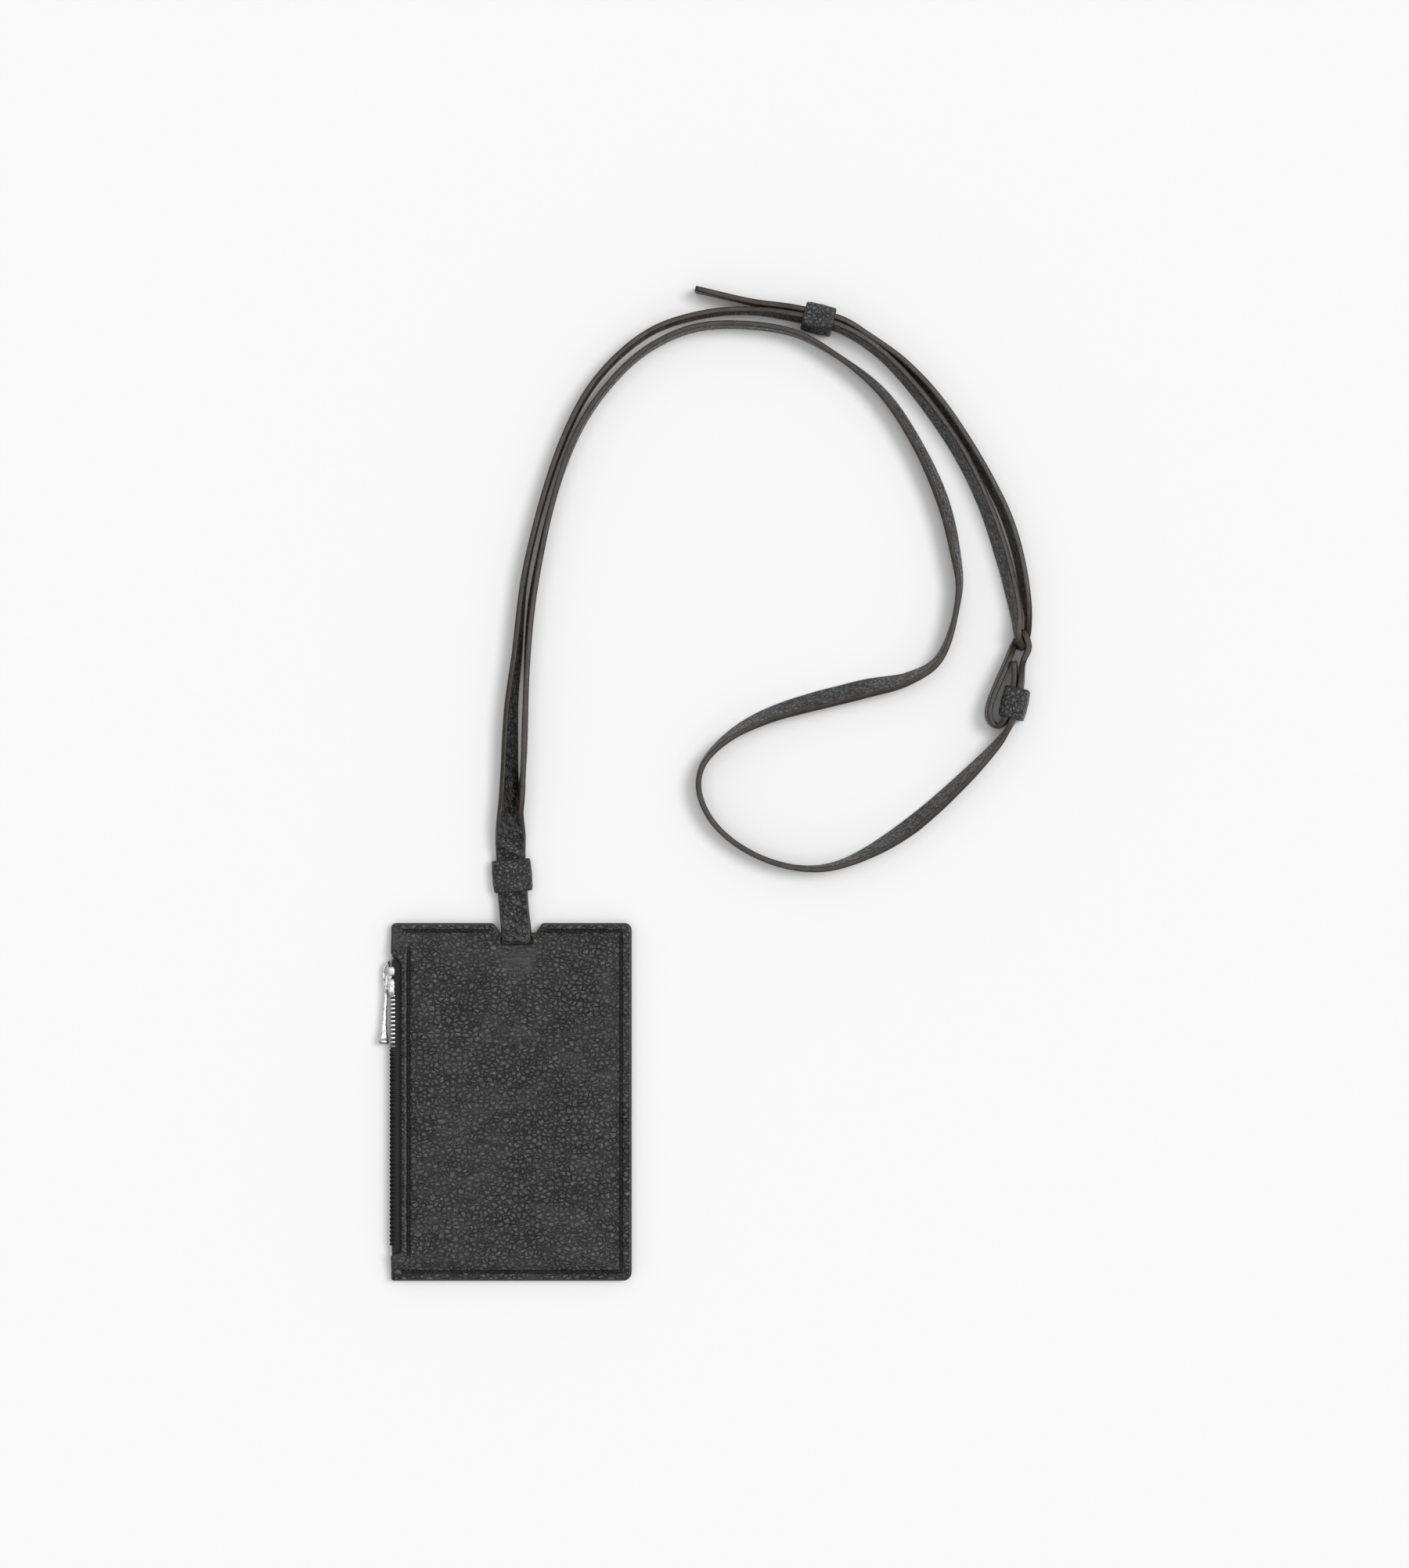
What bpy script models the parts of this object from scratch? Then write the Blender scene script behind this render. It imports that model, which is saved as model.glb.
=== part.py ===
"""Neck pouch wallet: a flat leather pouch with a zip along its left edge, hung on one long leather strap.

Lengths are written in millimetres and turned into metres where the geometry is made. The origin is the middle
of the pouch's back face, which lies on the ground: +X to the right, +Y to the top edge, +Z out of the front.
The strap runs through a slit at the top, doubles back on itself at the adjuster, and lies on its edge.
"""

import math

import bmesh
import bpy
import numpy as np
from mathutils import Matrix, Vector

MM = 0.001
GAP = 0.3  # air between neighbouring pieces

# The pouch
POUCH_WIDTH = 80.0
POUCH_HEIGHT = 119.0
POUCH_DEPTH = 7.1
LEATHER = 1.2
SEAM_RISE = 2.2  # how far the sewn margins stand in from the panels' flat middles
MID_Z = POUCH_DEPTH / 2
HALF_W = POUCH_WIDTH / 2
HALF_H = POUCH_HEIGHT / 2

# The sloping bands between the flat middle and the sewn margins: (flat side, margin side)
RIGHT_SLOPE = (32.2, 36.2)
TOP_SLOPE = (47.3, 51.3)
BOTTOM_SLOPE = (-50.5, -54.7)
SLOPE_STEPS = 3

# The zip's window in the left edge
WINDOW_X = -36.8
WINDOW_TOP = 48.6
WINDOW_BOTTOM = -50.2

# The notch in the top edge, and the slit under it that the strap runs through
NOTCH_X = (-6.0, 10.2)
NOTCH_FLOOR_X = (-4.0, 8.2)
NOTCH_FLOOR_Y = 56.3
SLIT_CENTRE = (1.8, 53.8)
SLIT_SIZE = (10.4, 2.4)

# The lining and the zip's tapes
LINING = 0.4
TAPE = 0.6
TAPE_X = (-37.7, -30.0)
TAPE_Y = (-50.2, 47.3)
LINING_X = (TAPE_X[1] + 0.4, 31.5)
LINING_Y = (-50.0, 46.8)

# The zip's teeth: two combs that mesh across the pouch's middle plane
TEETH_X = (-39.6, -38.0)
TEETH_Y = (-47.6, 39.7)
TOOTH_PITCH = 1.4
TOOTH_THICK = 0.42
TOOTH_REACH = 0.25  # past the middle plane
BEAD_Z = (1.45, 1.95)  # the row's backbone, from the middle plane

# The slider, its crown and its puller
SLIDER_Y = (35.2, 47.0)
SLIDER_HALF_Z = 3.15
SLIDER_WALL = 0.7
SLIDER_OUTER_X = TEETH_X[0] - GAP
SLIDER_INNER_X = TEETH_X[1] + GAP
FLANGE_X = TEETH_X[1] - 0.3
INNER_PLATE_HALF_Z = 1.15
POST_Y = (40.2, 45.0)
POST_HALF_Z = 0.8
CROWN_HALF_Z = 0.8
CROWN_WALL = 0.7
CROWN_Y = (37.4, 46.4)
PIVOT = (-41.4, 42.5)
PULLER_LENGTH = 23.2
PULLER_LEAN = 3.0  # degrees, outwards
PULLER_HALF_Z = 2.0
PULLER_THICK = 1.0
PULLER_TIP_THICK = 3.0
EYE_HALF_Z = 1.2
EYE_RUN = (0.45, 5.7)  # along the puller from the pivot
STOP_X = (-39.4, -38.1)

# The strap: one flat strip, and the keepers that slide on it
STRAP_WIDTH = 9.7
STRAP_THICK = 1.8
FLOOR_CLEARANCE = 0.05
LONGEST_STEP = 24.0
SHARPEST_TURN = 30.0  # degrees between neighbouring points
KEEPER_WALL = 1.1
KEEPER_CLEARANCE = 0.35
KEEPER_CORNER = 1.6
KEEPER_INSIDE = (2 * STRAP_THICK + GAP + 2 * KEEPER_CLEARANCE, STRAP_WIDTH + 2 * KEEPER_CLEARANCE)
KEEPER_OUTSIDE = (KEEPER_INSIDE[0] + 2 * KEEPER_WALL, KEEPER_INSIDE[1] + 2 * KEEPER_WALL)

# Keepers: centre x, centre y, heading of the strap (degrees from +X), lean of the top to the left, length,
# and how much wider the loop is than a close fit
POUCH_KEEPER = (0.2, 75.3, 94.6, 90.0, 10.7, 0.0)
TAIL_KEEPER = (102.1, 260.2, -14.0, 7.0, 10.2, 0.8)
ADJUSTER_KEEPER = (167.2, 132.6, 76.6, 8.0, 10.2, 1.3)


def keeper_height(placing):
    """The height of a keeper's middle when its lowest corner is on the ground."""
    lean, slack = placing[3], placing[5]
    standing = abs(math.cos(math.radians(lean))) * (KEEPER_OUTSIDE[1] / 2 - KEEPER_CORNER)
    lying = abs(math.sin(math.radians(lean))) * ((KEEPER_OUTSIDE[0] + slack) / 2 - KEEPER_CORNER)
    return standing + lying + KEEPER_CORNER


def strip_height(lean):
    """The height of the strap's middle when its lowest edge is on the ground."""
    standing = abs(math.cos(math.radians(lean))) * (STRAP_WIDTH - STRAP_THICK) / 2
    return standing + STRAP_THICK / 2 + FLOOR_CLEARANCE


TAIL_LIFT = keeper_height(TAIL_KEEPER) - strip_height(5)
ADJUSTER_LIFT = keeper_height(ADJUSTER_KEEPER) - strip_height(8)
LOWER_LIFT = keeper_height(POUCH_KEEPER) - strip_height(90) - (STRAP_THICK + GAP) / 2
UPPER_LIFT = LOWER_LIFT + STRAP_THICK + GAP

# The strap's own route: x, y, lean, lift, gather.
# Lean is in degrees from standing on edge, towards the left of the way the route runs; lift is the height of
# the lower edge above where it would lie; gather narrows the strip where its two bights clasp.
TAIL_SIDE = [
    (61.3, 270.3, -3, 0, 1),
    (80.0, 266.0, -3, 0.2, 1),
    (94.9, 263.1, 5, TAIL_LIFT, 1),
    (109.8, 259.4, 5, TAIL_LIFT, 1),
    (118.0, 255.0, 0, 0.8, 1),
    (130.9, 245.5, 3, 0, 1),
    (144.7, 229.9, 5, 0, 1),
    (162.9, 198.8, 8, 0, 1),
    (168.2, 183.6, 8, 0, 1),
    (171.1, 168.3, 6, 0, 1),
    (172.0, 160.5, 0, 0, 0.8),
    (171.6, 154.6, 0, 0, 0.48),
    (170.0, 151.6, 0, 2.4, 0.48),
    (168.4, 154.6, 0, 5.0, 0.48),
    (168.2, 161.0, -12, 1.4, 0.8),
    (164.1, 179.4, -17, 0, 1),
    (156.9, 200.4, -15, 0, 1),
    (146.1, 221.0, -14, 0, 1),
    (124.3, 247.7, -7, 0.3, 1),
    (109.3, 257.3, -5, TAIL_LIFT, 1),
    (94.4, 261.0, -5, TAIL_LIFT, 1),
    (80.1, 263.1, 0, 0.2, 1),
    (64.5, 262.1, 0, 0, 1),
    (46.2, 256.1, 0, 0, 1),
    (28.8, 240.8, 0, 0, 1),
    (17.2, 220.0, 0, 0, 1),
    (5.2, 178.8, 0, 0, 1),
    (1.7, 147.5, -9, 0, 1),
    (0.0, 132.0, -16, 0, 1),
    (-0.8, 101.0, -33, 0.3, 1),
    (-0.8, 93.5, -46, 1.6, 1),
    (-0.6, 88.0, -68, 3.1, 1),
    (-0.3, 83.3, -90, UPPER_LIFT, 1),
    (0.2, 75.3, -90, UPPER_LIFT, 1),
    (0.6, 67.0, -90, UPPER_LIFT, 1),
    (1.6, 56.3, -90, 5.15, 1),
]
ADJUSTER_SIDE = [
    (1.6, 56.3, 90, 0.05, 1),
    (0.6, 67.0, 90, LOWER_LIFT, 1),
    (0.2, 75.3, 90, LOWER_LIFT, 1),
    (-0.3, 83.3, 90, LOWER_LIFT, 1),
    (0.9, 95.0, 140, 0.2, 1),
    (3.2, 103.0, 170, 0, 1),
    (7.4, 170.0, 172, 0, 1),
    (21.1, 220.8, 180, 0, 1),
    (35.6, 242.0, 180, 0, 1),
    (48.6, 252.4, 180, 0, 1),
    (64.5, 258.1, 180, 0, 1),
    (92.0, 256.4, 179, 0, 1),
    (106.5, 249.4, 175, 0, 1),
    (123.1, 236.3, 165, 0, 1),
    (135.0, 218.8, 162, 0, 1),
    (143.6, 199.6, 159, 0, 1),
    (147.6, 183.0, 164, 0, 1),
    (148.9, 169.5, 173, 0, 1),
    (142.2, 147.4, 186, 0, 1),
    (132.2, 140.9, 198, 0, 1),
    (116.6, 137.2, 213, 0, 1),
    (85.0, 128.3, 203, 0, 1),
    (71.5, 120.8, 189, 0, 1),
    (63.8, 112.3, 182, 0, 1),
    (62.3, 104.5, 180, 0, 1),
    (65.5, 95.4, 180, 0, 1),
    (73.0, 87.2, 180, 0, 1),
    (85.5, 80.3, 180, 0, 1),
    (99.0, 77.6, 178, 0, 1),
    (110.8, 79.5, 173, 0, 1),
    (132.2, 91.3, 156, 0, 1),
    (162.0, 119.6, 175, 0.6, 1),
    (166.4, 126.6, 188, ADJUSTER_LIFT, 1),
    (169.4, 139.3, 188, ADJUSTER_LIFT, 1),
    (170.2, 146.3, 184, 0.8, 0.8),
    (171.9, 151.4, 180, 3.4, 0.48),
    (170.1, 156.0, 180, 2.4, 0.48),
    (167.6, 152.6, 180, 0, 0.48),
    (165.4, 147.4, 182, 0, 0.85),
    (158.8, 130.6, 181, 0, 1),
    (159.4, 126.6, 180, 0.2, 1),
    (161.8, 125.2, 180, 0.6, 1),
    (164.3, 127.1, 188, ADJUSTER_LIFT, 1),
    (167.3, 139.8, 188, ADJUSTER_LIFT, 1),
    (167.1, 146.6, 186, ADJUSTER_LIFT, 1),
]
# Between the two it folds through the slit: y, z, lean
SLIT_FOLD = [(54.55, 6.1, -90), (53.85, 5.2, -90), (53.85, 1.9, 90), (54.55, 1.0, 90)]

LEATHER_BLACK = (0.045, 0.045, 0.047)
LEATHER_EDGE = (0.035, 0.033, 0.032)
LINING_GREY = (0.09, 0.09, 0.10)
TAPE_BLACK = (0.02, 0.02, 0.022)
NICKEL = (0.78, 0.78, 0.80)
GUNMETAL = (0.30, 0.30, 0.31)


def clear_scene():
    for item in list(bpy.data.objects):
        bpy.data.objects.remove(item, do_unlink=True)


def collection_named(name):
    group = bpy.data.collections.new(name)
    bpy.context.scene.collection.children.link(group)
    return group


def material_named(name, colour, roughness, metallic=0.0):
    material = bpy.data.materials.new(name)
    material.use_nodes = True
    shader = material.node_tree.nodes["Principled BSDF"]
    shader.inputs["Base Color"].default_value = (*colour, 1.0)
    shader.inputs["Roughness"].default_value = roughness
    shader.inputs["Metallic"].default_value = metallic
    return material


def add_mesh(name, mesh, material, group):
    item = bpy.data.objects.new(name, mesh)
    group.objects.link(item)
    if material is not None:
        mesh.materials.append(material)
    return item


def as_cutter(item):
    item.hide_render = True
    item.display_type = "WIRE"
    return item


def combine(item, operation, other):
    modifier = item.modifiers.new(operation.title(), "BOOLEAN")
    modifier.operation = operation
    modifier.solver = "EXACT"
    modifier.object = other


def rounded_outline(corners, arc_steps=5):
    """The outline's points in millimetres, with each corner (x, y, radius) turned into an arc."""
    points = []
    for i, (x, y, radius) in enumerate(corners):
        here = Vector((x, y))
        before = (Vector(corners[i - 1][:2]) - here).normalized()
        after = (Vector(corners[(i + 1) % len(corners)][:2]) - here).normalized()
        if radius == 0:
            points.append(here)
            continue
        half = before.angle(after) / 2
        centre = here + (before + after).normalized() * (radius / math.sin(half))
        start = here + before * (radius / math.tan(half)) - centre
        end = here + after * (radius / math.tan(half)) - centre
        turn = start.angle_signed(end)
        for step in range(arc_steps + 1):
            points.append(centre + Matrix.Rotation(-turn * step / arc_steps, 2) @ start)
    return points


def outline_curve(name, outlines, thickness):
    """A flat curve through the outlines, in its own XY plane, with half its thickness on each side."""
    curve = bpy.data.curves.new(name, "CURVE")
    curve.dimensions = "2D"
    curve.fill_mode = "BOTH"
    curve.extrude = thickness / 2 * MM
    for outline in outlines:
        spline = curve.splines.new("POLY")
        spline.points.add(len(outline) - 1)
        for point, (x, y) in zip(spline.points, outline):
            point.co = (x * MM, y * MM, 0, 1)
        spline.use_cyclic_u = True
    return curve


def plate(name, outlines, thickness, matrix, material, group):
    """A welded mesh plate of the outlines, placed by the matrix."""
    guide = bpy.data.objects.new(name, outline_curve(name, outlines, thickness))
    group.objects.link(guide)
    guide.matrix_world = matrix
    bpy.context.view_layer.update()
    depsgraph = bpy.context.evaluated_depsgraph_get()
    mesh = bpy.data.meshes.new_from_object(guide.evaluated_get(depsgraph))
    bpy.data.objects.remove(guide)
    faces = bmesh.new()
    faces.from_mesh(mesh)
    bmesh.ops.remove_doubles(faces, verts=faces.verts, dist=0.001 * MM)
    bmesh.ops.recalc_face_normals(faces, faces=faces.faces)
    faces.to_mesh(mesh)
    faces.free()
    mesh.name = name
    item = add_mesh(name, mesh, material, group)
    item.matrix_world = matrix
    return item


def box(name, low, high, material, group):
    """A rectangular block between two corners in millimetres, with its origin at its middle."""
    faces = bmesh.new()
    bmesh.ops.create_cube(faces, size=1.0)
    size = [(b - a) * MM for a, b in zip(low, high)]
    bmesh.ops.scale(faces, vec=size, verts=faces.verts)
    mesh = bpy.data.meshes.new(name)
    faces.to_mesh(mesh)
    faces.free()
    item = add_mesh(name, mesh, material, group)
    item.location = [(a + b) / 2 * MM for a, b in zip(low, high)]
    return item


# ---------------------------------------------------------------- the leather pouch


def eased(t):
    t = min(max(t, 0.0), 1.0)
    return t * t * (3 - 2 * t)


def slope_lines(band):
    return [band[0] + (band[1] - band[0]) * step / SLOPE_STEPS for step in range(SLOPE_STEPS + 1)]


def seam_share(x, y):
    """0 on the flat middle of a panel, 1 on its sewn margins."""
    shares = [
        (x - RIGHT_SLOPE[0]) / (RIGHT_SLOPE[1] - RIGHT_SLOPE[0]),
        (y - TOP_SLOPE[0]) / (TOP_SLOPE[1] - TOP_SLOPE[0]),
        (y - BOTTOM_SLOPE[0]) / (BOTTOM_SLOPE[1] - BOTTOM_SLOPE[0]),
    ]
    return max(eased(share) for share in shares)


def panel_outline():
    """The outline of both panels: notched at the top, set back behind the zip."""
    return rounded_outline(
        [
            (-HALF_W, -HALF_H, 0.5),
            (HALF_W, -HALF_H, 2.8),
            (HALF_W, HALF_H, 2.2),
            (NOTCH_X[1], HALF_H, 1.2),
            (NOTCH_FLOOR_X[1], NOTCH_FLOOR_Y, 0.6),
            (NOTCH_FLOOR_X[0], NOTCH_FLOOR_Y, 0.6),
            (NOTCH_X[0], HALF_H, 1.2),
            (-HALF_W, HALF_H, 1.2),
            (-HALF_W, WINDOW_TOP + 0.6, 0.5),
            (WINDOW_X, WINDOW_TOP - 1.4, 0.8),
            (WINDOW_X, WINDOW_BOTTOM + 0.6, 0.8),
            (-HALF_W, WINDOW_BOTTOM - 0.4, 0.5),
        ]
    )


def make_panel(name, outer_z, inward, material, group, cutters):
    """A leather panel: flat in the middle, stepping in to its sewn margins. inward is +1 or -1 along Z."""
    beyond = 2.0
    xs = [-HALF_W - beyond, *slope_lines(RIGHT_SLOPE), HALF_W + beyond]
    ys = [
        -HALF_H - beyond,
        *reversed(slope_lines(BOTTOM_SLOPE)),
        *slope_lines(TOP_SLOPE),
        HALF_H + beyond,
    ]
    sheet = bmesh.new()
    rows = []
    for y in ys:
        row = []
        for x in xs:
            z = outer_z + inward * SEAM_RISE * seam_share(x, y)
            row.append(sheet.verts.new((x * MM, y * MM, z * MM)))
        rows.append(row)
    for low, high in zip(rows, rows[1:]):
        for i in range(len(xs) - 1):
            corners = [low[i], low[i + 1], high[i + 1], high[i]]
            sheet.faces.new(corners if inward < 0 else reversed(corners))
    mesh = bpy.data.meshes.new(name)
    sheet.to_mesh(mesh)
    sheet.free()
    panel = add_mesh(name, mesh, material, group)

    solidify = panel.modifiers.new("Leather", "SOLIDIFY")
    solidify.thickness = LEATHER * MM
    solidify.offset = -1
    solidify.use_even_offset = False

    middle = Matrix.Translation((0, 0, MID_Z * MM))
    outline = plate(name + "_outline", [panel_outline()], 4 * POUCH_DEPTH, middle, None, cutters)
    combine(panel, "INTERSECT", as_cutter(outline))
    slit_low = [SLIT_CENTRE[0] - SLIT_SIZE[0] / 2, SLIT_CENTRE[1] - SLIT_SIZE[1] / 2, -beyond]
    slit_high = [SLIT_CENTRE[0] + SLIT_SIZE[0] / 2, SLIT_CENTRE[1] + SLIT_SIZE[1] / 2, POUCH_DEPTH + beyond]
    slit = box(name + "_slit", slit_low, slit_high, None, cutters)
    combine(panel, "DIFFERENCE", as_cutter(slit))
    return panel


def make_flat_layers(tape_material, lining_material, group):
    """The tapes and linings: thin flat strips just inside the panels."""
    for side, sign in (("front", 1), ("back", -1)):
        under_leather = MID_Z + sign * (MID_Z - LEATHER - GAP)
        for name, across, along, thick, material in (
            ("zip_tape_", TAPE_X, TAPE_Y, TAPE, tape_material),
            ("lining_", LINING_X, LINING_Y, LINING, lining_material),
        ):
            depths = sorted((under_leather, under_leather - sign * thick))
            low = (across[0], along[0], depths[0])
            high = (across[1], along[1], depths[1])
            box(name + side, low, high, material, group)


# ---------------------------------------------------------------- the zip


def comb_outline(sign, first_tooth):
    """One row of teeth in (z, y): a backbone with square teeth that reach past the middle plane."""
    back = MID_Z + sign * BEAD_Z[1]
    root = MID_Z + sign * BEAD_Z[0]
    tip = MID_Z - sign * TOOTH_REACH
    points = [(back, TEETH_Y[1]), (back, TEETH_Y[0]), (root, TEETH_Y[0])]
    count = int((TEETH_Y[1] - first_tooth - TOOTH_THICK) / TOOTH_PITCH) + 1
    for i in range(count):
        y = first_tooth + i * TOOTH_PITCH
        points += [(root, y - 0.05), (tip, y), (tip, y + TOOTH_THICK), (root, y + TOOTH_THICK + 0.05)]
    points.append((root, TEETH_Y[1]))
    return points


def standing_matrix(x_middle):
    """Places an outline drawn in (z, y) on a plane across X."""
    turned = Matrix(((0, 0, -1), (0, 1, 0), (1, 0, 0))).to_4x4()
    return Matrix.Translation((x_middle * MM, 0, 0)) @ turned


def make_teeth(material, group):
    middle = sum(TEETH_X) / 2
    thickness = TEETH_X[1] - TEETH_X[0]
    for side, sign, first in (("front", 1, 0.2), ("back", -1, 0.2 + TOOTH_PITCH / 2)):
        outline = comb_outline(sign, TEETH_Y[0] + first)
        name = "zip_teeth_" + side
        comb = bmesh.new()
        face = comb.faces.new([comb.verts.new((z * MM, y * MM, -thickness / 2 * MM)) for z, y in outline])
        extruded = bmesh.ops.extrude_face_region(comb, geom=[face])["geom"]
        moved = [item for item in extruded if isinstance(item, bmesh.types.BMVert)]
        bmesh.ops.translate(comb, vec=(0, 0, thickness * MM), verts=moved)
        bmesh.ops.recalc_face_normals(comb, faces=comb.faces)
        mesh = bpy.data.meshes.new(name)
        comb.to_mesh(mesh)
        comb.free()
        add_mesh(name, mesh, material, group).matrix_world = standing_matrix(middle)


def make_stops(material, group):
    box(
        "zip_bottom_stop",
        (STOP_X[0], TEETH_Y[0] - 2.0, MID_Z - 1.6),
        (STOP_X[1], TEETH_Y[0] - GAP, MID_Z + 1.6),
        material,
        group,
    )
    for side, sign in (("front", 1), ("back", -1)):
        depths = sorted((MID_Z + sign * 0.4, MID_Z + sign * 1.7))
        low = (STOP_X[0], SLIDER_Y[1] + GAP, depths[0])
        high = (STOP_X[1], SLIDER_Y[1] + 1.3, depths[1])
        box("zip_top_stop_" + side, low, high, material, group)


def make_slider(material, group, cutters):
    """The slider's body: a channel round the teeth, joined by a post to the plate inside the pouch."""
    outer = SLIDER_OUTER_X
    back = outer - SLIDER_WALL
    inner = SLIDER_HALF_Z - SLIDER_WALL
    channel = [
        (back, MID_Z - SLIDER_HALF_Z),
        (FLANGE_X, MID_Z - SLIDER_HALF_Z),
        (FLANGE_X, MID_Z - inner),
        (outer, MID_Z - inner),
        (outer, MID_Z + inner),
        (FLANGE_X, MID_Z + inner),
        (FLANGE_X, MID_Z + SLIDER_HALF_Z),
        (back, MID_Z + SLIDER_HALF_Z),
    ]
    across = Matrix(((1, 0, 0), (0, 0, -1), (0, 1, 0))).to_4x4()
    place = Matrix.Translation((0, sum(SLIDER_Y) / 2 * MM, 0)) @ across
    body = plate("zip_slider", [channel], SLIDER_Y[1] - SLIDER_Y[0], place, material, group)

    inner_plate = box(
        "slider_inner_plate",
        (SLIDER_INNER_X, SLIDER_Y[0] + 0.4, MID_Z - INNER_PLATE_HALF_Z),
        (SLIDER_INNER_X + SLIDER_WALL, SLIDER_Y[1] - 0.2, MID_Z + INNER_PLATE_HALF_Z),
        None,
        cutters,
    )
    post = box(
        "slider_post",
        (outer - SLIDER_WALL / 2, POST_Y[0], MID_Z - POST_HALF_Z),
        (SLIDER_INNER_X + SLIDER_WALL / 2, POST_Y[1], MID_Z + POST_HALF_Z),
        None,
        cutters,
    )
    combine(body, "UNION", as_cutter(post))
    combine(body, "UNION", as_cutter(inner_plate))
    return body


def make_crown(material, group):
    """The arch on the slider that the puller hangs from."""
    foot = SLIDER_OUTER_X - SLIDER_WALL - GAP
    under = PIVOT[0] - 0.7
    top = under - CROWN_WALL
    low, high = CROWN_Y
    arch = [
        (foot, low, 0),
        (top, low + 1.3, 0.5),
        (top, high - 1.3, 0.5),
        (foot, high, 0),
        (foot, high - 1.5, 0),
        (under, high - 2.2, 0.2),
        (under, low + 2.2, 0.2),
        (foot, low + 1.5, 0),
    ]
    middle = Matrix.Translation((0, 0, MID_Z * MM))
    outline = rounded_outline(arch, 3)
    return plate("zip_slider_crown", [outline], 2 * CROWN_HALF_Z, middle, material, group)


def make_puller(material, group, cutters):
    """The puller, with its origin on its pivot. Its outline is its side view: x outwards, y along its length."""
    thin = PULLER_THICK / 2
    tip = PULLER_TIP_THICK / 2
    far = PULLER_LENGTH
    side_view = [
        (0.4, 0.4, 0.4),
        (-0.4, 0.4, 0.4),
        (-thin, -1.6, 0),
        (-thin, -far + 6.0, 3.0),
        (-tip, -far + 1.4, 0.6),
        (-tip + 0.3, -far, 0.3),
        (tip - 0.3, -far, 0.3),
        (tip, -far + 1.4, 0.6),
        (thin, -far + 6.0, 3.0),
        (thin, -1.6, 0),
    ]
    lean = Matrix.Rotation(math.radians(-PULLER_LEAN), 4, "Z")
    place = Matrix.Translation((PIVOT[0] * MM, PIVOT[1] * MM, MID_Z * MM)) @ lean
    outline = rounded_outline(side_view, 3)
    puller = plate("zip_puller", [outline], 2 * PULLER_HALF_Z, place, material, group)
    eye = box(
        "puller_eye",
        (-2.0, -EYE_RUN[1], -EYE_HALF_Z),
        (2.0, -EYE_RUN[0], EYE_HALF_Z),
        None,
        cutters,
    )
    eye.matrix_world = place @ Matrix.Translation((0, -sum(EYE_RUN) / 2 * MM, 0))
    combine(puller, "DIFFERENCE", as_cutter(eye))
    return puller


# ---------------------------------------------------------------- the strap


def route_rows(route):
    """The route's points as rows of x, y, z, lean, gather."""
    rows = []
    for x, y, lean, lift, gather in route:
        rows.append((x, y, lift + gather * strip_height(lean), lean, gather))
    return np.array(rows, float)


def catmull_rom(p0, p1, p2, p3, t):
    """A point between p1 and p2 on a centripetal Catmull-Rom curve."""
    knots = [0.0]
    for a, b in ((p0, p1), (p1, p2), (p2, p3)):
        knots.append(knots[-1] + max(math.sqrt(np.linalg.norm(b[:3] - a[:3])), 1e-6))
    t0, t1, t2, t3 = knots
    t = t1 + (t2 - t1) * t
    a1 = ((t1 - t) * p0 + (t - t0) * p1) / (t1 - t0)
    a2 = ((t2 - t) * p1 + (t - t1) * p2) / (t2 - t1)
    a3 = ((t3 - t) * p2 + (t - t2) * p3) / (t3 - t2)
    b1 = ((t2 - t) * a1 + (t - t0) * a2) / (t2 - t0)
    b2 = ((t3 - t) * a2 + (t - t1) * a3) / (t3 - t1)
    return ((t2 - t) * b1 + (t - t1) * b2) / (t2 - t1)


def smooth_points(rows):
    """Points on the smooth curve through the rows, close together only where it turns sharply."""
    ends = np.vstack([2 * rows[0] - rows[1], rows, 2 * rows[-1] - rows[-2]])
    points = [rows[0]]
    for i in range(1, len(ends) - 2):
        around = ends[i - 1 : i + 3]
        span = np.linalg.norm(around[2][:3] - around[1][:3])
        early = catmull_rom(*around, 0.02)[:3] - around[1][:3]
        late = around[2][:3] - catmull_rom(*around, 0.98)[:3]
        turn = math.degrees(Vector(early).angle(Vector(late)))
        count = max(math.ceil(span / LONGEST_STEP), math.ceil(turn / SHARPEST_TURN))
        for step in range(1, count + 1):
            points.append(catmull_rom(*around, step / count))
    return np.array(points)


def make_strap(material, group):
    """The strap as a flat ribbon curve. At the slit its route turns straight down and back under itself."""
    tail_side = smooth_points(route_rows(TAIL_SIDE))
    adjuster_side = smooth_points(route_rows(ADJUSTER_SIDE))
    fold = [(SLIT_CENTRE[0], y, z, lean, 1.0) for y, z, lean in SLIT_FOLD]
    points = np.vstack([tail_side, fold, adjuster_side])
    curve = bpy.data.curves.new("strap", "CURVE")
    curve.dimensions = "3D"
    curve.twist_mode = "Z_UP"
    curve.extrude = (STRAP_WIDTH - STRAP_THICK) / 2 * MM
    curve.bevel_depth = STRAP_THICK / 2 * MM
    curve.bevel_resolution = 1
    curve.use_fill_caps = True
    spline = curve.splines.new("POLY")
    spline.points.add(len(points) - 1)
    for point, (x, y, z, lean, gather) in zip(spline.points, points):
        point.co = (x * MM, y * MM, z * MM, 1)
        point.tilt = -math.radians(lean)
        point.radius = gather
    curve.materials.append(material)
    strap = bpy.data.objects.new("strap", curve)
    group.objects.link(strap)
    return strap


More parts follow.
